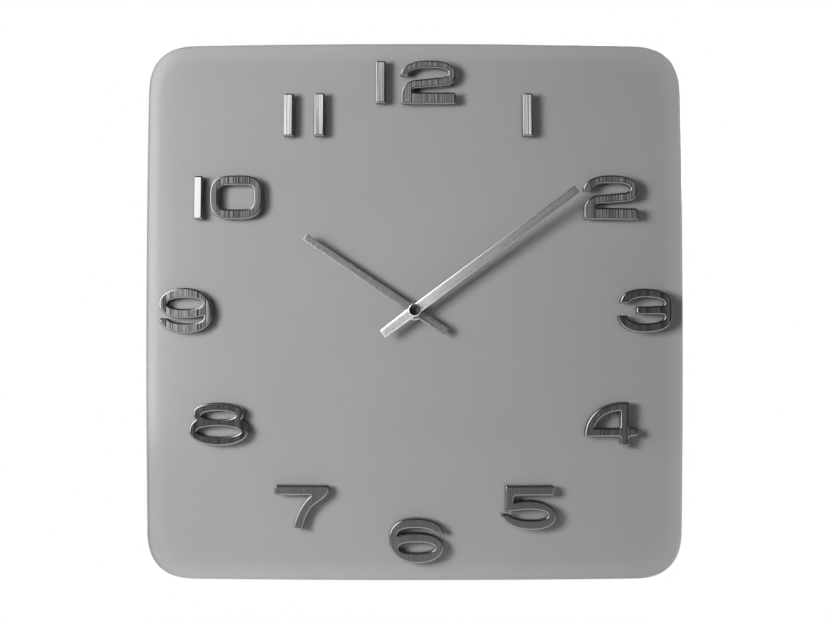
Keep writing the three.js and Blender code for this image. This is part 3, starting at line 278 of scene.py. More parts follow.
def turned(profile, steps, centre=(0, 0), number=0, along="z"):
    """A turned piece from (radius, z) corners, counterclockwise, closed on the axis or on
    its own start."""
    corners, faces, rows = [], [], []
    for radius, z in profile:
        if radius < 1e-6:
            rows.append([len(corners)] * steps)
            corners.append((centre[0], centre[1], z))
        else:
            rows.append(range(len(corners), len(corners) + steps))
            for x, y in circle(radius, steps, centre):
                corners.append((x, y, z))
    closed = profile[0][0] > 1e-6
    for r in range(len(rows) if closed else len(rows) - 1):
        low, high = rows[r], rows[(r + 1) % len(rows)]
        for i in range(steps):
            after = (i + 1) % steps
            face = []
            for corner in (low[i], low[after], high[after], high[i]):
                if corner not in face:
                    face.append(corner)
            if len(face) > 2:
                faces.append(face)
    if along == "x":
        corners = [(z, x, y) for x, y, z in corners]
    return corners, faces, [number] * len(faces)


def gear_outline(module, teeth, phase):
    pitch = module * teeth / 2
    points = []
    for i in range(teeth):
        for radius, share in (
            (pitch - 1.25 * module, -0.33),
            (pitch + 0.9 * module, -0.12),
            (pitch + 0.9 * module, 0.12),
            (pitch - 1.25 * module, 0.33),
        ):
            angle = phase + (i + share) * TAU / teeth
            points.append((radius * math.cos(angle), radius * math.sin(angle)))
    return points


def dome_height(x, y, depth=0):
    """Height over the wall of the sphere that lies depth behind the glass's front."""
    centre = APEX - DOME_RADIUS
    return centre + math.sqrt((DOME_RADIUS - depth) ** 2 - x * x - y * y)


# Node trees


class Nodes:
    """The nodes of one tree, each made, set and joined in one call."""

    def __init__(self, group):
        self.group = group

    def link(self, source, socket):
        if isinstance(source, bpy.types.NodeSocket):
            self.group.links.new(source, socket)
        else:
            socket.default_value = source

    def fill(self, made, inputs):
        for socket, value in inputs.items():
            self.link(value, made.inputs[socket])
        return made

    def node(self, kind, inputs=None, **settings):
        made = self.group.nodes.new(kind)
        for name, value in settings.items():
            setattr(made, name, value)
        return self.fill(made, inputs or {})

    def maths(self, operation, *values):
        made = self.node("ShaderNodeMath", dict(enumerate(values)), operation=operation)
        return made.outputs["Value"]

    def vector(self, operation, *values, scale=None, out="Vector"):
        made = self.node("ShaderNodeVectorMath", dict(enumerate(values)), operation=operation)
        if scale is not None:
            self.link(scale, made.inputs["Scale"])
        return made.outputs[out]

    def combined(self, x, y, z):
        return self.node("ShaderNodeCombineXYZ", {"X": x, "Y": y, "Z": z}).outputs["Vector"]

    def parted(self, vector):
        return self.node("ShaderNodeSeparateXYZ", {"Vector": vector}).outputs

    def mixed(self, factor, first, second):
        made = self.node("ShaderNodeMixShader", {0: factor, 1: first, 2: second})
        return made.outputs["Shader"]

    def eased(self, value, low, high, start=0.0, end=1.0):
        """A soft step from start to end while the value goes from low to high."""
        sizes = {"From Min": low, "From Max": high, "To Min": start, "To Max": end}
        made = self.node("ShaderNodeMapRange", sizes, interpolation_type="SMOOTHSTEP")
        self.link(value, made.inputs["Value"])
        return made.outputs["Result"]


class Tree(Nodes):
    """A Geometry Nodes tree with named inputs, which ends in real mesh with its finish."""

    def __init__(self, name, sizes, kind="NodeSocketFloat"):
        super().__init__(bpy.data.node_groups.new(name, "GeometryNodeTree"))
        sockets = self.group.interface.new_socket
        sockets("Geometry", in_out="OUTPUT", socket_type="NodeSocketGeometry")
        sockets("Geometry", in_out="INPUT", socket_type="NodeSocketGeometry")
        for label in sizes:
            sockets(label, in_out="INPUT", socket_type=kind)
        sockets("Finish", in_out="INPUT", socket_type="NodeSocketMaterial")
        self.inputs = self.group.nodes.new("NodeGroupInput").outputs

    def end(self, geometry):
        real = self.node("GeometryNodeRealizeInstances", {"Geometry": geometry})
        finish = self.node(
            "GeometryNodeSetMaterial",
            {"Geometry": real.outputs["Geometry"], "Material": self.inputs["Finish"]},
        )
        self.node("NodeGroupOutput", {"Geometry": finish.outputs["Geometry"]})

    def grown(self, part, finish, number=0, **sizes):
        """The drawn part after this tree, as a part again."""
        corners, faces, _ = part
        mesh = bpy.data.meshes.new("drawn")
        mesh.from_pydata([tuple(c) for c in corners], [], faces)
        carrier = bpy.data.objects.new("drawn", mesh)
        bpy.context.scene.collection.objects.link(carrier)
        modifier = carrier.modifiers.new("grown", "NODES")
        modifier.node_group = self.group
        values = {label.lower().replace(" ", "_"): label for label in self.inputs.keys()}
        for key, value in {"finish": finish, **sizes}.items():
            modifier[self.inputs[values[key]].identifier] = value
        evaluated = carrier.evaluated_get(bpy.context.evaluated_depsgraph_get())
        plain = bpy.data.meshes.new_from_object(evaluated)
        carrier.modifiers.remove(modifier)
        result = (
            [tuple(v.co) for v in plain.vertices],
            [list(p.vertices) for p in plain.polygons],
            [number] * len(plain.polygons),
        )
        bpy.data.objects.remove(carrier)
        for used in (plain, mesh):
            bpy.data.meshes.remove(used)
        return result


def dome_tree():
    """Bends a flat slab, drawn round z = 0, on to a sphere: z becomes height over it."""
    tree = Tree("bent_on_dome", ["Radius", "Centre Height"])
    radius = tree.inputs["Radius"]
    flat_point = tree.node("GeometryNodeInputPosition").outputs["Position"]
    flat = tree.vector("MULTIPLY", flat_point, (1.0, 1.0, 0.0))
    across = tree.vector("DOT_PRODUCT", flat, flat, out="Value")
    squared = tree.maths("MULTIPLY", radius, radius)
    rise = tree.maths("SQRT", tree.maths("SUBTRACT", squared, across))
    out = tree.vector("ADD", flat, tree.combined(0.0, 0.0, rise))
    height = tree.parted(flat_point)["Z"]
    share = tree.maths("DIVIDE", tree.maths("ADD", radius, height), radius)
    centre = tree.combined(0.0, 0.0, tree.inputs["Centre Height"])
    bent = tree.vector("ADD", tree.vector("SCALE", out, scale=share), centre)
    moved = tree.node(
        "GeometryNodeSetPosition", {"Geometry": tree.inputs["Geometry"], "Position": bent}
    )
    tree.end(moved.outputs["Geometry"])
    return tree


def copies_tree():
    """Copies of what is drawn, evenly turned round the axis."""
    tree = Tree("copies_round_axis", ["Count"], "NodeSocketInt")
    count = tree.inputs["Count"]
    places = tree.node("GeometryNodePoints", {"Count": count})
    index = tree.node("GeometryNodeInputIndex").outputs["Index"]
    angle = tree.maths("MULTIPLY", tree.maths("DIVIDE", index, count), TAU)
    turn = tree.node("FunctionNodeAxisAngleToRotation", {"Axis": (0, 0, 1), "Angle": angle})
    copies = tree.node(
        "GeometryNodeInstanceOnPoints",
        {
            "Points": places.outputs["Points"],
            "Instance": tree.inputs["Geometry"],
            "Rotation": turn.outputs["Rotation"],
        },
    )
    tree.end(copies.outputs["Instances"])
    return tree


def winding_tree():
    """One layer of wire wound round the z axis, upwards from z = 0."""
    tree = Tree("wound_wire", ["Turns", "Radius", "Length", "Wire Radius"])
    sizes = tree.inputs
    path = tree.node(
        "GeometryNodeCurveSpiral",
        {
            "Resolution": 24,
            "Rotations": sizes["Turns"],
            "Start Radius": sizes["Radius"],
            "End Radius": sizes["Radius"],
            "Height": sizes["Length"],
        },
    )
    section = tree.node(
        "GeometryNodeCurvePrimitiveCircle", {"Resolution": 6, "Radius": sizes["Wire Radius"]}
    )
    wire = tree.node(
        "GeometryNodeCurveToMesh",
        {
            "Curve": path.outputs["Curve"],
            "Profile Curve": section.outputs["Curve"],
            "Fill Caps": True,
        },
    )
    tree.end(wire.outputs["Mesh"])
    return tree


DOME = dome_tree()
COPIES = copies_tree()
WINDING = winding_tree()


# Materials


def new_material(name):
    material = bpy.data.materials.new(name)
    material.use_nodes = True
    tree = Nodes(material.node_tree)
    return material, tree, tree.group.nodes["Principled BSDF"]


def textured(tree, scale, detail=2.0, turn=0.0):
    """Noise over Object coordinates stretched by a scale along each axis."""
    place = tree.node("ShaderNodeTexCoord").outputs["Object"]
    turned_about = tree.node("ShaderNodeMapping", {"Vector": place, "Rotation": (0, turn, 0)})
    stretched = tree.node(
        "ShaderNodeMapping", {"Vector": turned_about.outputs["Vector"], "Scale": scale}
    )
    looks = {"Scale": 1, "Detail": detail, "Roughness": 0.55}
    noise = tree.node("ShaderNodeTexNoise", {"Vector": stretched.outputs["Vector"], **looks})
    return noise.outputs["Fac"]


def ramp(tree, value, stops):
    node = tree.node("ShaderNodeValToRGB", {"Fac": value})
    elements = node.color_ramp.elements
    for end in (0, -1):
        elements[end].position = stops[end][0]
        elements[end].color = (*stops[end][1], 1)
    for position, colour in stops[1:-1]:
        elements.new(position).color = (*colour, 1)
    return node.outputs["Color"]


def even(levels):
    """Ramp stops of grey light from (place, level) pairs."""
    return [(place, (level, level, level)) for place, level in levels]


def spread(tree, value, low, high):
    """Noise, which keeps near the middle, spread from low to high."""
    sizes = {"Value": value, "From Min": 0.3, "From Max": 0.7, "To Min": low, "To Max": high}
    return tree.node("ShaderNodeMapRange", sizes).outputs["Result"]


def bumped(tree, shader, value, height):
    bump = tree.node("ShaderNodeBump", {"Strength": 1, "Distance": height, "Height": value})
    tree.link(bump.outputs["Normal"], shader.inputs["Normal"])


def grey(value):
    """An sRGB grey from 0 to 255, as a linear colour."""
    level = value / 255
    linear = level / 12.92 if level <= 0.04045 else ((level + 0.055) / 1.055) ** 2.4
    return (linear, linear, linear)


def over_face(tree, reach):
    """The place across the face from the hands' axis, where reach counts as 1."""
    sizes = {
        "Vector": tree.node("ShaderNodeTexCoord").outputs["Object"],
        "Location": (0, 0, NAIL_ABOVE_AXIS / reach),
        "Scale": (1000 / reach, 0, 1000 / reach),
    }
    return tree.node("ShaderNodeMapping", sizes).outputs["Vector"]


def painted_sheen_outwards(tree, colour, levels):
    """The colour times a share that falls with the distance from the hands' axis: painted
    sheen, lighter near the hub and darker towards the tip.
    """
    distance = tree.vector("LENGTH", over_face(tree, MINUTE_REACH), out="Value")
    return tree.vector("MULTIPLY", colour, ramp(tree, distance, even(levels)))


def brushed_metal(
    name,
    dark,
    light,
    roughness,
    scale,
    turn=0.0,
    metallic=1.0,
    height=0.00004,
    blur=0.18,
    painted_sheen_levels=(),
):
    """Brushed metal: long streaks lie along the axis with the smallest scale."""
    material, tree, shader = new_material(name)
    streaks = textured(tree, scale, 2.5, turn)
    colour = ramp(tree, streaks, [(0.5 - blur, grey(dark)), (0.5 + blur, grey(light))])
    # Painted sheen along a hand: lighter near its axis, darker towards its tip
    if painted_sheen_levels:
        colour = painted_sheen_outwards(tree, colour, painted_sheen_levels)
    gloss = spread(tree, streaks, roughness - 0.06, roughness + 0.08)
    tree.fill(shader, {"Base Color": colour, "Roughness": gloss, "Metallic": metallic})
    bumped(tree, shader, streaks, height)
    return material


def polished_metal(name, colour, roughness):
    material, tree, shader = new_material(name)
    wear = textured(tree, (260, 260, 260))
    worn = ramp(tree, wear, [(0.3, tuple(c * 0.94 for c in colour)), (0.7, colour)])
    gloss = spread(tree, wear, roughness * 0.8, roughness * 1.3)
    tree.fill(shader, {"Base Color": worn, "Roughness": gloss, "Metallic": 1})
    return material


def moulded_plastic(name, colour, roughness, grain, fineness=2600):
    material, tree, shader = new_material(name)
    texture = textured(tree, (fineness, fineness, fineness))
    cloud = textured(tree, (30, 30, 30))
    clouded = ramp(tree, cloud, [(0.3, tuple(c * 0.86 for c in colour)), (0.7, colour)])
    gloss = spread(tree, texture, roughness - 0.08, roughness + 0.08)
    tree.fill(shader, {"Base Color": clouded, "Roughness": gloss})
    bumped(tree, shader, texture, grain)
    return material


def clear_glass():
    """Clear glass that lets the lamps through to the paint behind it."""
    material, tree, shader = new_material("clear_glass")
    looks = {"Roughness": 0.14, "IOR": 1.5, "Transmission Weight": 1}
    tree.fill(shader, {"Base Color": (0.97, 0.97, 0.97, 1), **looks})
    shadow_ray = tree.node("ShaderNodeLightPath").outputs["Is Shadow Ray"]
    clear = tree.node("ShaderNodeBsdfTransparent", {"Color": (0.93, 0.93, 0.93, 1)})
    surface = tree.mixed(shadow_ray, shader.outputs["BSDF"], clear.outputs["BSDF"])
    tree.fill(tree.group.nodes["Material Output"], {"Surface": surface})
    return material


def back_paint():
    """The grey coat behind the glass, faintly cloudy, with a painted highlight that makes it
    lighter along its edge.
    """
    material, tree, shader = new_material("grey_back_paint_with_painted_rim_highlight")
    cloud = textured(tree, (14, 14, 14), 3.0)
    colour = ramp(tree, cloud, [(0.25, grey(156)), (0.75, grey(160))])
    place = tree.parted(tree.vector("ABSOLUTE", over_face(tree, GLASS_HALF)))
    # A sum of high powers is level along the soft square of the outline
    squareness = tree.maths("ADD", *(tree.maths("POWER", place[axis], 16) for axis in "XZ"))
    # Painted highlight: the coat is up to a tenth lighter in a band along the outline
    lighter = tree.eased(squareness, 0.22, 0.6, 1, 1.1)
    tree.fill(
        shader, {"Base Color": tree.vector("SCALE", colour, scale=lighter), "Roughness": 0.85}
    )
    bumped(tree, shader, textured(tree, (900, 900, 900)), 0.00001)
    return material


def wound_copper():
    """Enamelled wire, a little darker in patches."""
    material, tree, shader = new_material("copper_winding")
    patches = textured(tree, (700, 700, 700))
    copper = ramp(tree, patches, [(0.35, (0.36, 0.12, 0.04)), (0.65, (0.62, 0.25, 0.09))])
    tree.fill(shader, {"Base Color": copper, "Metallic": 0.9, "Roughness": 0.26})
    return material


def along(angle):
    """Turn that lays streaks along a hand which points this many degrees past the 12."""
    return math.radians(-angle)


GLASS = clear_glass()
PAINT = back_paint()
FINE = (2100, 5, 11)
# The numerals share one brushed metal; these copies differ in tone as painted sheen or shade,
# lighter or darker by where each numeral sits
PAINTED_SHADE_FRONT = brushed_metal("numeral_painted_shade_brushed", 60, 126, 0.32, FINE, 0, 0.75, blur=0.12)
PAINTED_DEEP_SHADE_FRONT = brushed_metal("numeral_painted_deep_shade_brushed", 26, 84, 0.32, FINE, 0, 0.75, blur=0.14)
PAINTED_HALF_SHADE_FRONT = brushed_metal("numeral_painted_half_shade", 76, 112, 0.34, FINE, 0, 0.75, 0.00001, 0.2)
PAINTED_MIXED_SHEEN_FRONT = brushed_metal("numeral_painted_mixed_sheen", 56, 190, 0.32, FINE, 0, 0.75, blur=0.1)
PAINTED_LEFT_SHEEN_FRONT = brushed_metal("numeral_painted_left_sheen", 12, 138, 0.28, FINE, 0, 0.75, blur=0.1)
PAINTED_SHEEN_BAR_FRONT = brushed_metal("numeral_bar_painted_sheen", 122, 236, 0.4, FINE, 0, 0.35, blur=0.1)
PAINTED_GREY_SHEEN_BAR_FRONT = brushed_metal("numeral_bar_painted_grey_sheen", 118, 228, 0.34, FINE, 0, 0.6, blur=0.1)
PAINTED_HIGHLIGHT_BAR_FRONT = brushed_metal("numeral_bar_painted_highlight", 178, 214, 0.4, FINE, 0, 0.15, 0.00001)
BEVEL = polished_metal("numeral_bevel", grey(134), 0.12)
GRAIN = (1500, 900, 560)
# Shares of painted sheen along the minute hand, from its axis out to its tip
HAND_PAINTED_SHEEN = [(0.06, 0.92), (0.2, 0.72), (0.4, 0.58), (0.7, 0.46), (1.0, 0.4)]
HOUR_METAL = brushed_metal("hour_hand_metal", 106, 172, 0.44, GRAIN, along(HOUR_ANGLE), 0.85)
MINUTE_METAL = brushed_metal(
    "minute_hand_metal_with_painted_sheen", 212, 255, 0.44, GRAIN, along(MINUTE_ANGLE), 0.85, painted_sheen_levels=HAND_PAINTED_SHEEN
)
HOUR_EDGE = polished_metal("hour_hand_edge", grey(138), 0.15)
MINUTE_EDGE = brushed_metal(
    "minute_hand_edge_with_painted_sheen",
    228,
    244,
    0.2,
    (1600, 900, 30),
    along(MINUTE_ANGLE),
    height=0.00001,
    painted_sheen_levels=HAND_PAINTED_SHEEN,
)
CHROME = polished_metal("cap_chrome", grey(235), 0.05)
NUT_STEEL = polished_metal("nut_steel", grey(200), 0.2)
STEEL = brushed_metal("spring_steel", 150, 200, 0.3, (900, 900, 900))
BRASS = polished_metal("turned_brass", (0.6, 0.4, 0.13), 0.2)
BLACK_PLASTIC = moulded_plastic("black_moulding", (0.018, 0.018, 0.019), 0.5, 0.00008, 1300)
CASE_PLASTIC = moulded_plastic("case_moulding", (0.014, 0.014, 0.015), 0.36, 0.00001)
BLACK_GLOSS = moulded_plastic("plug_black", (0.006, 0.006, 0.006), 0.22, 0.000002)
PALE_PLASTIC = moulded_plastic("pale_nylon", (0.72, 0.7, 0.62), 0.42, 0.00001)
RUBBER = moulded_plastic("black_rubber", (0.02, 0.02, 0.02), 0.8, 0.00003, 1500)
FOAM = moulded_plastic("white_foam", (0.7, 0.7, 0.67), 0.9, 0.00012, 1400)
COPPER = wound_copper()
LAMINATE = moulded_plastic("board_laminate", (0.2, 0.13, 0.05), 0.5, 0.00001)
MAGNET = polished_metal("ground_magnet", (0.12, 0.12, 0.13), 0.35)
WRAPPER = moulded_plastic("cell_wrapper", (0.03, 0.05, 0.085), 0.25, 0.000004)


# Face


EDGE = soft_square(
    GLASS_HALF - GLASS_THICKNESS / 2, CORNER - GLASS_THICKNESS / 2, CORNER_POWER, 24, 20
)
RINGS = [
    [(x * GLASS_HOLE / math.hypot(x, y), y * GLASS_HOLE / math.hypot(x, y)) for x, y in EDGE]
]
RINGS += [
    [(x * share, y * share) for x, y in EDGE]
    for share in (0.06, 0.12, 0.2, 0.3, 0.4, 0.5, 0.6, 0.7, 0.78, 0.85, 0.91, 0.96)
]


def at_level(ring, z):
    return [(x, y, z) for x, y in ring]


def rim_section(radius, angle):
    """The slab's edge at a radius and angle round its middle line; 90 is the front."""
    turn = math.radians(angle)
    edge = moved_left(EDGE, -radius * math.cos(turn))
    return at_level(edge, radius * math.sin(turn))


half_thick = GLASS_THICKNESS / 2
on_dome = {
    "radius": float(DOME_RADIUS - half_thick),
    "centre_height": float(APEX - DOME_RADIUS),
}
flat_pane = ring_loft(
    [at_level(ring, half_thick) for ring in RINGS]
    + [rim_section(half_thick, 90 - RIM_STEP * i) for i in range(13)]
    + [at_level(ring, -half_thick) for ring in reversed(RINGS)]
)
make_piece(
    "glass_pane",
    [DOME.grown(flat_pane, GLASS, **on_dome)],
    [GLASS],
    "clock_body",
    ["glass_face"],
    sharp=60,
)
coat_front, coat_rear = half_thick + COAT_FRONT, half_thick + COAT_REAR
flat_coat = ring_loft(
    [at_level(ring, -coat_front) for ring in RINGS]
    + [rim_section(coat_front, -90 + RIM_STEP * i) for i in range(6)]
    + [rim_section(coat_rear, -RIM_STEP - RIM_STEP * i) for i in range(6)]
    + [at_level(ring, -coat_rear) for ring in reversed(RINGS)]
)
make_piece(
    "grey_coat",
    [DOME.grown(flat_coat, PAINT, **on_dome)],
    [PAINT],
    "clock_body",
    [],
    sharp=60,
)


# Numerals


def drawn(commands):
    """An outline from move, line and cubic curve commands."""
    words = re.findall(r"[A-Z]|-?[\d.]+", commands)
    points, letter, i = [], "", 0

    def read():
        nonlocal i
        i += 2
        return Vector((float(words[i - 2]), float(words[i - 1])))

    at = None
    while i < len(words):
        if words[i].isalpha():
            letter = words[i]
            i += 1
        if letter == "Z":
            break
        if letter == "C":
            a, b, c = read(), read(), read()
            length = (a - at).length + (b - a).length + (c - b).length
            steps = max(5, min(20, round(length / CURVE_STEP)))
            for step in range(1, steps + 1):
                t = step / steps
                u = 1 - t
                points.append(at * u**3 + a * 3 * u * u * t + b * 3 * u * t * t + c * t**3)
            at = c
        else:
            at = read()
            points.append(at)
    if (points[0] - points[-1]).length < 1e-3:
        points.pop()
    return [tuple(p) for p in points]


def superellipse(x, y, a, b, power, steps):
    points = []
    for i in range(steps):
        c, s = math.cos(TAU * i / steps), math.sin(TAU * i / steps)
        points.append(
            (
                x + a * math.copysign(abs(c) ** (2 / power), c),
                y + b * math.copysign(abs(s) ** (2 / power), s),
            )
        )
    return points


def half_turn(points):
    return [(-x, -y) for x, y in points]


def bar(width, height):
    return rounded_box(-width / 2, -height / 2, width / 2, height / 2, 1.25, 6)


TWO = drawn(
    "M-18.1 4.4 C-17.6 11.4 -9.5 14.6 0.3 14.6 C11.5 14.6 18.1 12.2 18.1 5.4 "
    "C18.1 0 15 -2.5 9.5 -2.9 L-7.5 -4.3 C-9.3 -4.5 -9.9 -5 -9.9 -5.8 "
    "C-9.9 -6.5 -9.6 -6.9 -9 -6.9 L18.1 -6.9 L18.1 -14.6 L-15.2 -14.6 "
    "C-16.9 -14.6 -17.7 -13.9 -17.7 -12.4 L-17.7 -8.5 C-17.7 -3.5 -13.5 0.6 -8.7 1.4 "
    "L9.5 3.3 C12 3.5 13 4.8 13 6 C13 8.4 7.5 9.4 0.5 9.4 C-7 9.4 -12 7.8 -12.6 4 Z"
)
THREE = drawn(
    "M-16.4 4.8 C-15.6 11.2 -10.5 14.4 0 14.4 C10.5 14.4 18 11.5 18 5.2 "
    "C18 2.5 18.2 -1.5 18 -4.6 C18 -11 10.5 -14.4 -0.5 -14.4 "
    "C-9.5 -14.4 -17.2 -11 -18 -3.1 L-11.9 -3.1 C-11 -6.5 -6.5 -8.2 0 -8.2 "
    "C6.5 -8.2 12.6 -7 13.1 -4.2 C13.2 -3 12 -2.6 10.5 -2.6 L-5.6 -2.6 L-5.6 2.6 "
    "L10 3.2 C12 3.3 13.2 3.9 13 5 C12.4 7.4 6.5 8.4 0.5 8.4 C-5 8.4 -9.8 7.2 -10.8 4.4 Z"
)
FOUR = drawn(
    "M-17.5 -8 C-17.7 4.6 -7 14.4 8 14.4 L11.8 14.4 L11.8 -2.2 L17.5 -2.2 "
    "L17.5 -8 L11.8 -8 L11.8 -14.4 L6 -14.4 L6 -8 Z"
)
FOUR_COUNTER = drawn("M-11 -2.3 C-8.5 4.2 -3 8.3 5.9 8.4 L5.8 -2.3 Z")
FIVE = drawn(
    "M-15.1 14.5 L16.7 14.5 L16.7 7.7 L-9.3 7.7 L-9.3 3.6 C-6 4.5 -3 4.8 0.5 4.8 "
    "C11 4.8 18.2 0.5 18.2 -5.8 C18.2 -11.5 12 -14.7 3 -14.7 "
    "C-7 -14.7 -16.2 -11 -18.1 -4 L-12.9 -4 C-10 -6.6 -4 -8 2 -8 "
    "C8 -8 12.6 -7.2 12.6 -5.2 C12.6 -2.8 7 -1.5 0.5 -1.5 C-4.5 -1.5 -8.5 -2.6 -15.1 -2.6 Z"
)
SIX = drawn(
    "M17.6 4.6 C17.4 11.6 9.5 14.8 0 14.8 C-10.5 14.8 -17.7 10.5 -17.7 1.5 "
    "C-17.7 -9.5 -9 -14.9 1 -14.9 C10.5 -14.9 17.8 -10.5 17.8 -4.5 "
    "C17.8 0.8 12.5 5.2 1 5.2 C-4 5.2 -8 4.8 -10.9 3.6 L-11.8 3.9 "
    "C-12.2 5.6 -10.5 8.1 -1 8.1 C5.5 8.1 10 7 11.8 5 Z"
)
SIX_COUNTER = superellipse(0.5, -4.6, 11.5, 3.35, 2.3, 56)
SEVEN = drawn(
    "M-17.7 14.6 L17.7 14.6 L17.7 10.8 C17 7 10.5 4 6.6 0.2 C3.6 -3.2 1.6 -8.5 0.6 -14.4 "
    "L-5.5 -12.9 C-4.2 -5.5 -0.5 2.5 5.8 8.1 L-17.7 8.1 Z"
)
LEFT_OF_EIGHT = drawn(
    "M0 14 C-9 14 -16.6 12 -16.6 7.3 C-16.6 5.2 -16.2 4 -15.2 3 "
    "C-17.8 1.2 -19.4 -1.2 -19.4 -4.2 C-19.4 -10.5 -10.5 -14 0 -14"
)[1:-1]
EIGHT = LEFT_OF_EIGHT + [(-x, y) for x, y in reversed(LEFT_OF_EIGHT)]
EIGHT_COUNTERS = [
    superellipse(0, 5.8, 11, 2.65, 2, 56),
    superellipse(0, -4.7, 14.2, 3.3, 2, 56),
]
ZERO = superellipse(0, 0, 17.35, 14.4, 3.2, 96)
ZERO_COUNTER = superellipse(0, 0, 11.3, 7.9, 5, 72)

# node, hour whose place it takes, shift from there, outline, counters, front's brushed material
# with its tone of painted sheen or shade
NUMERALS = [
    ("numeral_1", 1, 0, bar(7, 28.6), [], PAINTED_SHEEN_BAR_FRONT),
    ("numeral_2", 2, 0, TWO, [], PAINTED_MIXED_SHEEN_FRONT),
    ("numeral_3", 3, 0.6, THREE, [], PAINTED_SHADE_FRONT),
    ("numeral_4", 4, 0, FOUR, [FOUR_COUNTER], PAINTED_SHADE_FRONT),
    ("numeral_5", 5, 0, FIVE, [], PAINTED_HALF_SHADE_FRONT),
    ("numeral_6", 6, 1, SIX, [SIX_COUNTER], PAINTED_HALF_SHADE_FRONT),
    ("numeral_7", 7, 0.6, SEVEN, [], PAINTED_HALF_SHADE_FRONT),
    ("numeral_8", 8, 0.6, EIGHT, EIGHT_COUNTERS, PAINTED_DEEP_SHADE_FRONT),
    ("numeral_9", 9, 0.3, half_turn(SIX), [half_turn(SIX_COUNTER)], PAINTED_LEFT_SHEEN_FRONT),
    ("numeral_10_bar", 10, -13.1, bar(6, 28.6), [], PAINTED_HIGHLIGHT_BAR_FRONT),
    ("numeral_10_zero", 10, 11.6, ZERO, [ZERO_COUNTER], PAINTED_LEFT_SHEEN_FRONT),
    ("numeral_11_left", 11, -8.4, bar(7, 28.6), [], PAINTED_SHEEN_BAR_FRONT),
    ("numeral_11_right", 11, 11.6, bar(7, 28.6), [], PAINTED_SHEEN_BAR_FRONT),
    ("numeral_12_bar", 12, -21.9, bar(6.7, 28.5), [], PAINTED_GREY_SHEEN_BAR_FRONT),
    ("numeral_12_two", 12, 8.8, TWO, [], PAINTED_MIXED_SHEEN_FRONT),
]


def seat_on_dome(x, y):
    """Matrix that lays a plate, drawn on z = 0, on the dome at x, y with its seat gap."""
    foot = Vector((x, y, dome_height(x, y)))
    normal = (foot - Vector((0, 0, APEX - DOME_RADIUS))).normalized()
    turn = Vector((0, 0, 1)).rotation_difference(normal)
    return Matrix.Translation(foot + normal * SEAT) @ turn.to_matrix().to_4x4()


for node, hour, shift, outline, counters, front in NUMERALS:
    ring = RING_ON_AXES if hour % 3 == 0 else RING_OFF_AXES
    angle = math.radians(30 * hour)
    # A small foot, upright sides, and a front edge rounded in eight steps
    profile = [(NUMERAL_FOOT, 0), (0, NUMERAL_FOOT)]
    for step in range(8):
        turn = math.radians(8 + 10.5 * step)
        profile.append(
            (
                NUMERAL_BEVEL * (1 - math.cos(turn)),
                NUMERAL_HEIGHT - NUMERAL_BEVEL * (1 - math.sin(turn)),
            )
        )
    profile.append((NUMERAL_BEVEL + 0.06, NUMERAL_HEIGHT))
    make_piece(
        node.replace("numeral", "digit"),
        [plate(softened(outline, 1.9), [softened(c, 1.2) for c in counters], profile)],
        [front, BEVEL],
        "clock_body",
        [node],
        sharp=25,
        matrix=seat_on_dome(ring * math.sin(angle) + shift, ring * math.cos(angle)),
    )


# Hands and the nuts on the axis


def hand_parts(reach, tip, tail, tail_width, bore, collet=None):
    """A slightly crowned tapered bar, its round hub and, if any, its collet."""
    outline = [
        (-tail_width / 2, -tail),
        (tail_width / 2, -tail),
        (HAND_ROOT, 0),
        (tip / 2, reach),
        (-tip / 2, reach),
        (-HAND_ROOT, 0),
    ]
    profile = [(0.2, 0), (0, 0.2), (0, 0.5), (0.28, 0.76), (0.6, 0.88)]
    profile += [(1.0, 0.94), (1.5, 0.98), (2.1, 1)]
    hub = bore + 1.25
    parts = [
        plate(outline, [circle(bore, 48)], profile, crown=3),
        plate(circle(hub, 64), [circle(bore, 48)], [(0, 0.01), (0, 0.9), (0.1, 0.99)]),
    ]
    if collet:
        rim = [(bore, -collet), (hub, -collet), (hub, 0.5), (bore, 0.5)]
        parts.append(turned(rim, 64, number=1))
    return parts


def laid(angle, z):
    return Matrix.Translation((0, 0, z)) @ Matrix.Rotation(-math.radians(angle), 4, "Z")


make_piece(
    "hour_bar",
    hand_parts(HOUR_REACH, 5, 25, 6, 3.0),
    [HOUR_METAL, HOUR_EDGE],
    "hour_work",
    ["hour_hand"],
    matrix=laid(HOUR_ANGLE, HOUR_LEVEL),
)
make_piece(
    "minute_bar",
    hand_parts(MINUTE_REACH, 5.2, 25.5, 5.4, 1.9, collet=2.0),
    [MINUTE_METAL, MINUTE_EDGE],
    "minute_work",
    ["minute_hand"],
    matrix=laid(MINUTE_ANGLE, MINUTE_LEVEL),
)
CAP_SHAPE = [(1.9, 36.9), (4.1, 36.9), (4.25, 37.05), (4.25, 38.8), (4.2, 39.0), (3.86, 39.42)]
CAP_SHAPE += [(3.74, 39.5), (3.5, 39.5), (3.45, 39.44), (3.45, 38.6), (0, 38.6), (0, 38.0)]
CAP_SHAPE += [(1.9, 38.0)]
PLUG_SHAPE = [(0, 38.6), (3.15, 38.6), (3.15, 39.25), (3.0, 39.4), (2.7, 39.36), (2.1, 39.18)]
PLUG_SHAPE += [(1.3, 39.02), (0.6, 38.94), (0, 38.92)]
NUT_SHAPE = [(4.3, 29.0), (6.3, 29.0), (6.45, 29.15), (6.45, 30.3), (6.3, 30.58)]
NUT_SHAPE += [(6.05, 30.7), (4.5, 30.7), (4.3, 30.5)]
WASHER_SHAPE = [(4.3, 28.3), (5.95, 28.3), (5.95, 28.7), (4.3, 28.7)]

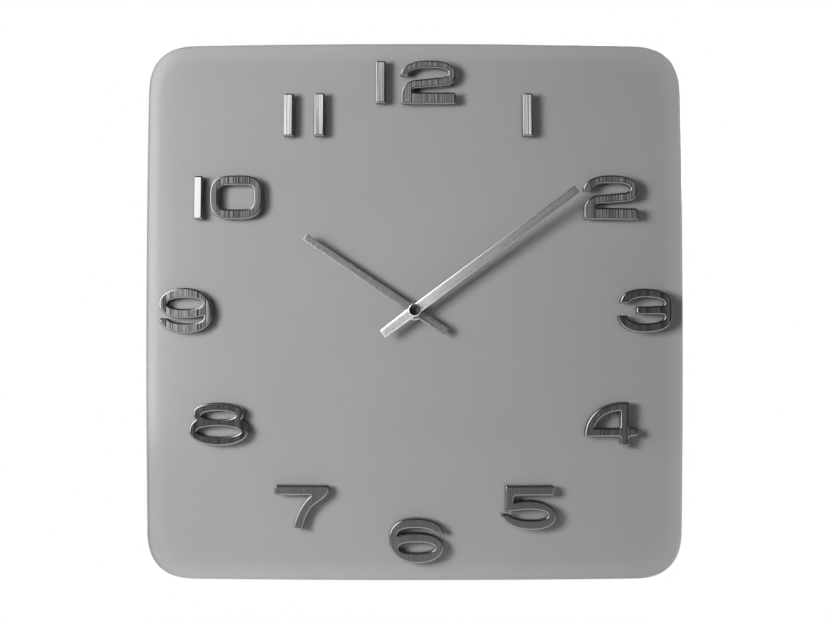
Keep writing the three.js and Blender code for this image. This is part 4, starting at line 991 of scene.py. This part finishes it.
for name, node, body, slot, finish, shape in [
    ("cap_ring", "cap_nut", "minute_work", "bright_metal", CHROME, CAP_SHAPE),
    ("dark_plug", "hub_plug", "minute_work", "black_gloss", BLACK_GLOSS, PLUG_SHAPE),
    ("round_nut", "fixing_nut", "clock_body", "steel", NUT_STEEL, NUT_SHAPE),
    ("washer_under_nut", "front_washer", "clock_body", "black_rubber", RUBBER, WASHER_SHAPE),
]:
    make_piece(name, [turned(shape, 96)], [finish], body, [node])


# Housing


def housing_parts():
    def section(inset, height):
        outline = soft_square(HOUSING_HALF - inset, max(HOUSING_CORNER - inset, 3), 2, 12, 14)
        return [(x, y, height(x, y)) for x, y in outline]

    def behind_glass(offset):
        return lambda x, y: dome_height(x, y, GLASS_THICKNESS) + offset

    def level(z):
        return lambda x, y: z

    rear_round = [
        section(2 - 2 * math.cos(a), level(2 - 2 * math.sin(a)))
        for a in (math.radians(RIM_STEP * i) for i in range(7))
    ]
    skirt = ring_loft(
        [
            section(FLANGE_INSET, behind_glass(FLANGE_FRONT)),
            section(0.8, behind_glass(FLANGE_FRONT)),
        ]
        + rear_round
        + [
            section(WALL_INSET, level(0)),
            section(WALL_INSET, level(HOUSING_FLOOR)),
            section(2.2, level(HOUSING_FLOOR)),
            section(3.0, behind_glass(FLANGE_REAR)),
            section(FLANGE_INSET, behind_glass(FLANGE_REAR)),
        ]
    )
    # The keyhole: round the nail on top, then round the wide entry below it
    slot = []
    for i in range(17):
        angle = math.pi * i / 16
        slot.append(
            (SLOT_HALF * math.cos(angle), NAIL_ABOVE_AXIS + SLOT_HALF * math.sin(angle))
        )
    neck = math.asin(SLOT_HALF / ENTRY_RADIUS)
    entry = NAIL_ABOVE_AXIS - ENTRY_DROP
    for i in range(41):
        angle = math.pi / 2 + neck + (TAU - 2 * neck) * i / 40
        slot.append((ENTRY_RADIUS * math.cos(angle), entry + ENTRY_RADIUS * math.sin(angle)))
    window = rounded_box(-WELL_HALF, -WELL_HALF, WELL_HALF, WELL_HALF, 4, 8)
    floor = plain_plate(
        soft_square(HOUSING_HALF - 4.7, HOUSING_CORNER - 4.7, 2, 1, 10),
        [window, slot],
        [(0.4, 0), (0, 0.4), (0, HOUSING_FLOOR)],
    )
    outer = WELL_HALF + WELL_WALL
    top = dome_height(outer, outer, GLASS_THICKNESS) - 0.6
    well = plain_plate(
        rounded_box(-outer, -outer, outer, outer, 5.8, 8), [window], [(0, 0.5), (0, top)]
    )
    pair = ([], [], [])
    for offset in (-15, 15):
        rib = plain_plate(
            rounded_box(30.1, offset - RIB_HALF, 141.9, offset + RIB_HALF, 0.1, 1),
            [],
            [(0, 1.25), (0, 6.7), (0.1, 6.92), (0.25, 7)],
        )
        start = len(pair[0])
        pair[0].extend(rib[0])
        pair[1].extend([start + i for i in face] for face in rib[1])
    ribs = COPIES.grown(pair, BLACK_PLASTIC, count=4)
    return [skirt, floor, well, ribs]


make_piece(
    "housing_moulding",
    housing_parts(),
    [BLACK_PLASTIC],
    "clock_body",
    ["back_housing"],
)


# Movement


def case_parts():
    """The movement's tray: rim, two bays, front with its hole, and the posts inside."""
    bay_top, train_low = -10.9, -9.9
    outline = rounded_box(-CASE_HALF, -CASE_HALF, CASE_HALF, CASE_HALF, 3, 8)
    bay = rounded_box(-CASE_INNER, -CASE_INNER, CASE_INNER, bay_top, 1, 4)
    train = rounded_box(-CASE_INNER, train_low, CASE_INNER, CASE_INNER, 1.5, 4)
    rim = plain_plate(outline, [bay, train], [(0.25, 5.4), (0, 5.65), (0, 20.8)])
    face = plain_plate(outline, [circle(4.3, 48)], [(0, 20.8), (0, 22.15), (0.25, 22.4)])
    posts = [
        turned([(0, 11.2), (1.5, 11.2), (1.5, 21.6), (0, 21.6)], 24, (side * 24.2, y))
        for side in (-1, 1)
        for y in (-6, 13)
    ]
    stud = turned([(0, 17.1), (0.7, 17.1), (0.7, 21.6), (0, 21.6)], 20, (6.7882, 6.7882))
    return [rim, face, *posts, stud]


make_piece(
    "movement_tray",
    case_parts(),
    [CASE_PLASTIC],
    "clock_body",
    ["movement_case"],
)
make_piece(
    "movement_lid",
    [
        plain_plate(
            rounded_box(-26.2, -9.6, 26.2, 26.2, 1.5, 5),
            [circle(1.8, 32, SETTING_AXIS)],
            [(0.3, 5.4), (0, 5.7), (0, 6.9)],
        )
    ],
    [CASE_PLASTIC],
    "clock_body",
    ["movement_cover"],
)

knob = turned([(0, 2.9), (4.2, 2.9), (4.5, 3.2), (4.5, 4.95), (4.35, 5.1), (0, 5.1)], 84)
ridge = plain_plate(
    rounded_box(4.2, -0.5, 4.95, 0.5, 0.36, 4),
    [],
    [(0.2, 3.05), (0, 3.25), (0, 4.75), (0.2, 4.95)],
)
ridges = COPIES.grown(ridge, PALE_PLASTIC, count=14)
shaft = [(0, 4.6), (1.5, 4.6), (1.5, 18.8), (0.5, 18.8), (0.5, 21.4), (0, 21.4)]
knob_shaft = turned(shaft, 32)
# The pinion's teeth stand in the gaps of the minute wheel's, whose own teeth stand in the
# gaps of the cannon pinion's; both wheels lie on lines at these angles from x
wheel_line = math.radians(45)
pinion_line = math.radians(11.5)
wheel_phase = wheel_line + math.pi + math.pi / WHEEL_TEETH
wheel_phase += wheel_line * PINION_TEETH / WHEEL_TEETH
pinion_phase = pinion_line + math.pi + math.pi / PINION_TEETH
pinion_phase -= (wheel_phase - pinion_line) * (WHEEL_TEETH // PINION_TEETH)
pinion = plain_plate(
    gear_outline(GEAR_MODULE, PINION_TEETH, pinion_phase),
    [],
    [(0.04, 17.2), (0, 17.25), (0, 18.75), (0.04, 18.8)],
)
make_piece(
    "fluted_knob",
    [knob, ridges, knob_shaft, pinion],
    [PALE_PLASTIC],
    "setting_work",
    ["setting_knob"],
    matrix=Matrix.Translation((*SETTING_AXIS, 0)),
)

CELL_SHAPE = [(0, -25.25), (5.6, -25.25), (6.6, -25.1), (7.1, -24.75), (7.25, -24.4)]
CELL_SHAPE += [(7.25, 22.9), (7.1, 23.45), (6.6, 23.85), (5.9, 23.95), (2.9, 23.95)]
CELL_SHAPE += [(2.75, 24.1), (2.75, 25.0), (2.5, 25.25), (0, 25.25)]
cell = turned(CELL_SHAPE, 72, along="x")
# The wrapper lies between the two bare ends
cell[2][:] = [0 if all(-24.6 < cell[0][i][0] < 23.2 for i in face) else 1 for face in cell[1]]
make_piece(
    "dry_cell",
    [cell],
    [WRAPPER, polished_metal("cell_ends", grey(205), 0.25)],
    "battery_cell",
    ["battery"],
    matrix=Matrix.Translation(BATTERY_PLACE),
)

coil_low, coil_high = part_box("coil")
coil_place = Vector(
    (
        (coil_low[0] + coil_high[0]) * 500,
        (coil_low[2] + coil_high[2]) * 500 + NAIL_ABOVE_AXIS,
        -(coil_low[1] + coil_high[1]) * 500,
    )
)


def lying(part, start=0.0):
    """A part drawn up the z axis, laid along x."""
    return [(z + start, x, y) for x, y, z in part[0]], part[1], part[2]


passage = [(-1.3, -0.8), (1.3, -0.8), (1.3, 0.8), (-1.3, 0.8)]
bobbin = [
    plain_plate(circle(3.6, 48), [passage], [(0.1, -10), (0, -9.9), (0, -9.1), (0.1, -9)]),
    plain_plate(circle(2.7, 48), [passage], [(0, -9.05), (0, 9.05)]),
    plain_plate(circle(3.6, 48), [passage], [(0.1, 9), (0, 9.1), (0, 9.9), (0.1, 10)]),
]
wire = WINDING.grown(
    ([], [], []),
    COPPER,
    1,
    turns=float(COIL_TURNS),
    radius=2.92,
    length=COIL_LENGTH,
    wire_radius=WIRE_RADIUS,
)
make_piece(
    "wound_coil",
    [lying(part) for part in bobbin] + [lying(wire, -COIL_LENGTH / 2)],
    [PALE_PLASTIC, COPPER],
    "clock_body",
    ["coil"],
    matrix=Matrix.Translation(coil_place),
)

for node, material in {
    "foam_tape_top": FOAM,
    "foam_tape_left": FOAM,
    "foam_tape_bottom": FOAM,
    "foam_tape_right": FOAM,
    "centre_bush": BRASS,
    "movement_washer": RUBBER,
    "train_bridge": PALE_PLASTIC,
    "minute_arbor": STEEL,
    "centre_wheel": PALE_PLASTIC,
    "hour_wheel": PALE_PLASTIC,
    "minute_wheel": PALE_PLASTIC,
    "third_wheel": PALE_PLASTIC,
    "rotor": MAGNET,
    "stator": STEEL,
    "coil_core": STEEL,
    "circuit_board": LAMINATE,
    "quartz_crystal": STEEL,
    "battery_contact_positive": STEEL,
    "battery_contact_negative": STEEL,
}.items():
    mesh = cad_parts[node].data
    mesh.materials.clear()
    mesh.materials.append(material)


# Room: lamps, floor, surroundings and camera

FACE_CENTRE = in_row((0, 0, 16))
CAMERA_DISTANCE = 1.2
CAMERA_BELOW = math.radians(1.5)
PIXELS_PER_METRE = 1534
IMAGE_WIDTH = 829
SENSOR_WIDTH = 36
FLOOR_LEVEL = -0.9
FLOOR_HALF = 4


def turned_to_face(thing):
    thing.rotation_euler = (FACE_CENTRE - thing.location).to_track_quat("-Z", "Y").to_euler()
    bpy.context.scene.collection.objects.link(thing)


def lamp(name, place, size, power, mirrored=True):
    light = bpy.data.lights.new(name, "AREA")
    light.shape = "DISK"
    light.size = size
    light.energy = power
    lamp_object = bpy.data.objects.new(name, light)
    lamp_object.visible_glossy = mirrored
    lamp_object.visible_transmission = False
    lamp_object.location = place
    turned_to_face(lamp_object)


lamp("key_lamp", (-0.95, -1.27, 0.12), 0.66, 31.2, mirrored=False)
lamp("low_lamp", (-0.4, -0.9, -0.85), 1.2, 2.4, mirrored=False)
lamp("rear_lamp", (0.7, 1.4, 0.7), 1.2, 30)


def pale_floor():
    """A floor, pale to the camera, to metal and through glass, that keeps the shadow."""
    material, tree, shader = new_material("pale_floor_paint")
    path = tree.node("ShaderNodeLightPath").outputs
    seen = path["Is Camera Ray"]
    for ray in ("Is Glossy Ray", "Is Transmission Ray"):
        unlit = tree.maths("LESS_THAN", path["Diffuse Depth"], path[ray])
        seen = tree.maths("MAXIMUM", seen, unlit)
    looks = {"Base Color": (0.8, 0.8, 0.8, 1), "Roughness": 0.7, "Emission Color": (1, 1, 1, 1)}
    tree.fill(shader, {**looks, "Emission Strength": tree.maths("MULTIPLY", seen, 0.55)})
    mesh = bpy.data.meshes.new("pale_floor")
    corners = [(-1, -1), (1, -1), (1, 1), (-1, 1)]
    mesh.from_pydata(
        [(x * FLOOR_HALF, y * FLOOR_HALF, FLOOR_LEVEL) for x, y in corners], [], [(0, 1, 2, 3)]
    )
    mesh.materials.append(material)
    floor = bpy.data.objects.new("pale_floor", mesh)
    bpy.context.scene.collection.objects.link(floor)
    return floor


floor = pale_floor()


def surroundings():
    """White to the camera and through glass; a dim studio, lighter on the left, otherwise."""
    world = bpy.data.worlds.new("studio")
    bpy.context.scene.world = world
    world.use_nodes = True
    tree = Nodes(world.node_tree)
    tree.group.nodes.clear()
    path = tree.node("ShaderNodeLightPath").outputs
    towards = tree.parted(tree.node("ShaderNodeTexCoord").outputs["Generated"])

    def background(strength, colour=(1, 1, 1, 1)):
        made = tree.node("ShaderNodeBackground", {"Color": colour, "Strength": strength})
        return made.outputs["Background"]

    # What metal and glass mirror: a bright wall far to the left, dimmer towards the right
    to_right = tree.node("ShaderNodeMapRange", {"Value": towards["X"], "From Min": -1})
    levels = [(0.0, 0.07), (0.02, 0.09), (0.1, 0.9), (0.28, 0.9), (0.32, 0.1)]
    levels += [(0.35, 0.055), (0.5, 0.033), (0.67, 0.018), (1.0, 0.012)]
    walls = background(5, ramp(tree, to_right.outputs["Result"], even(levels)))
    behind = tree.mixed(
        tree.eased(towards["X"], -0.6, -0.95), background(0.8), background(3.0)
    )
    front = tree.mixed(tree.eased(towards["Z"], 0.7, 0.95), walls, background(0.06))
    seen = tree.mixed(tree.eased(towards["Y"], -0.02, 0.08), front, behind)
    # In metal and through the glass, but not as light that the paint behind it would gather
    mirrored = tree.maths("LESS_THAN", path["Diffuse Depth"], path["Is Glossy Ray"])
    refracted = tree.maths("LESS_THAN", path["Diffuse Depth"], path["Is Transmission Ray"])
    white = background(1.0)
    glossy = tree.mixed(mirrored, background(0.07), seen)
    through = tree.mixed(refracted, glossy, white)
    shown = tree.mixed(path["Is Camera Ray"], through, white)
    tree.node("ShaderNodeOutputWorld", {"Surface": shown})


surroundings()

camera_data = bpy.data.cameras.new("camera")
camera_data.sensor_fit = "HORIZONTAL"
camera_data.sensor_width = SENSOR_WIDTH
camera_data.lens = SENSOR_WIDTH * PIXELS_PER_METRE * CAMERA_DISTANCE / IMAGE_WIDTH
camera_data.clip_start = 0.01
camera = bpy.data.objects.new("camera", camera_data)
camera.location = FACE_CENTRE + CAMERA_DISTANCE * Vector(
    (0, -math.cos(CAMERA_BELOW), -math.sin(CAMERA_BELOW))
)
turned_to_face(camera)
bpy.context.scene.camera = camera

bpy.context.scene.view_settings.view_transform = "Standard"
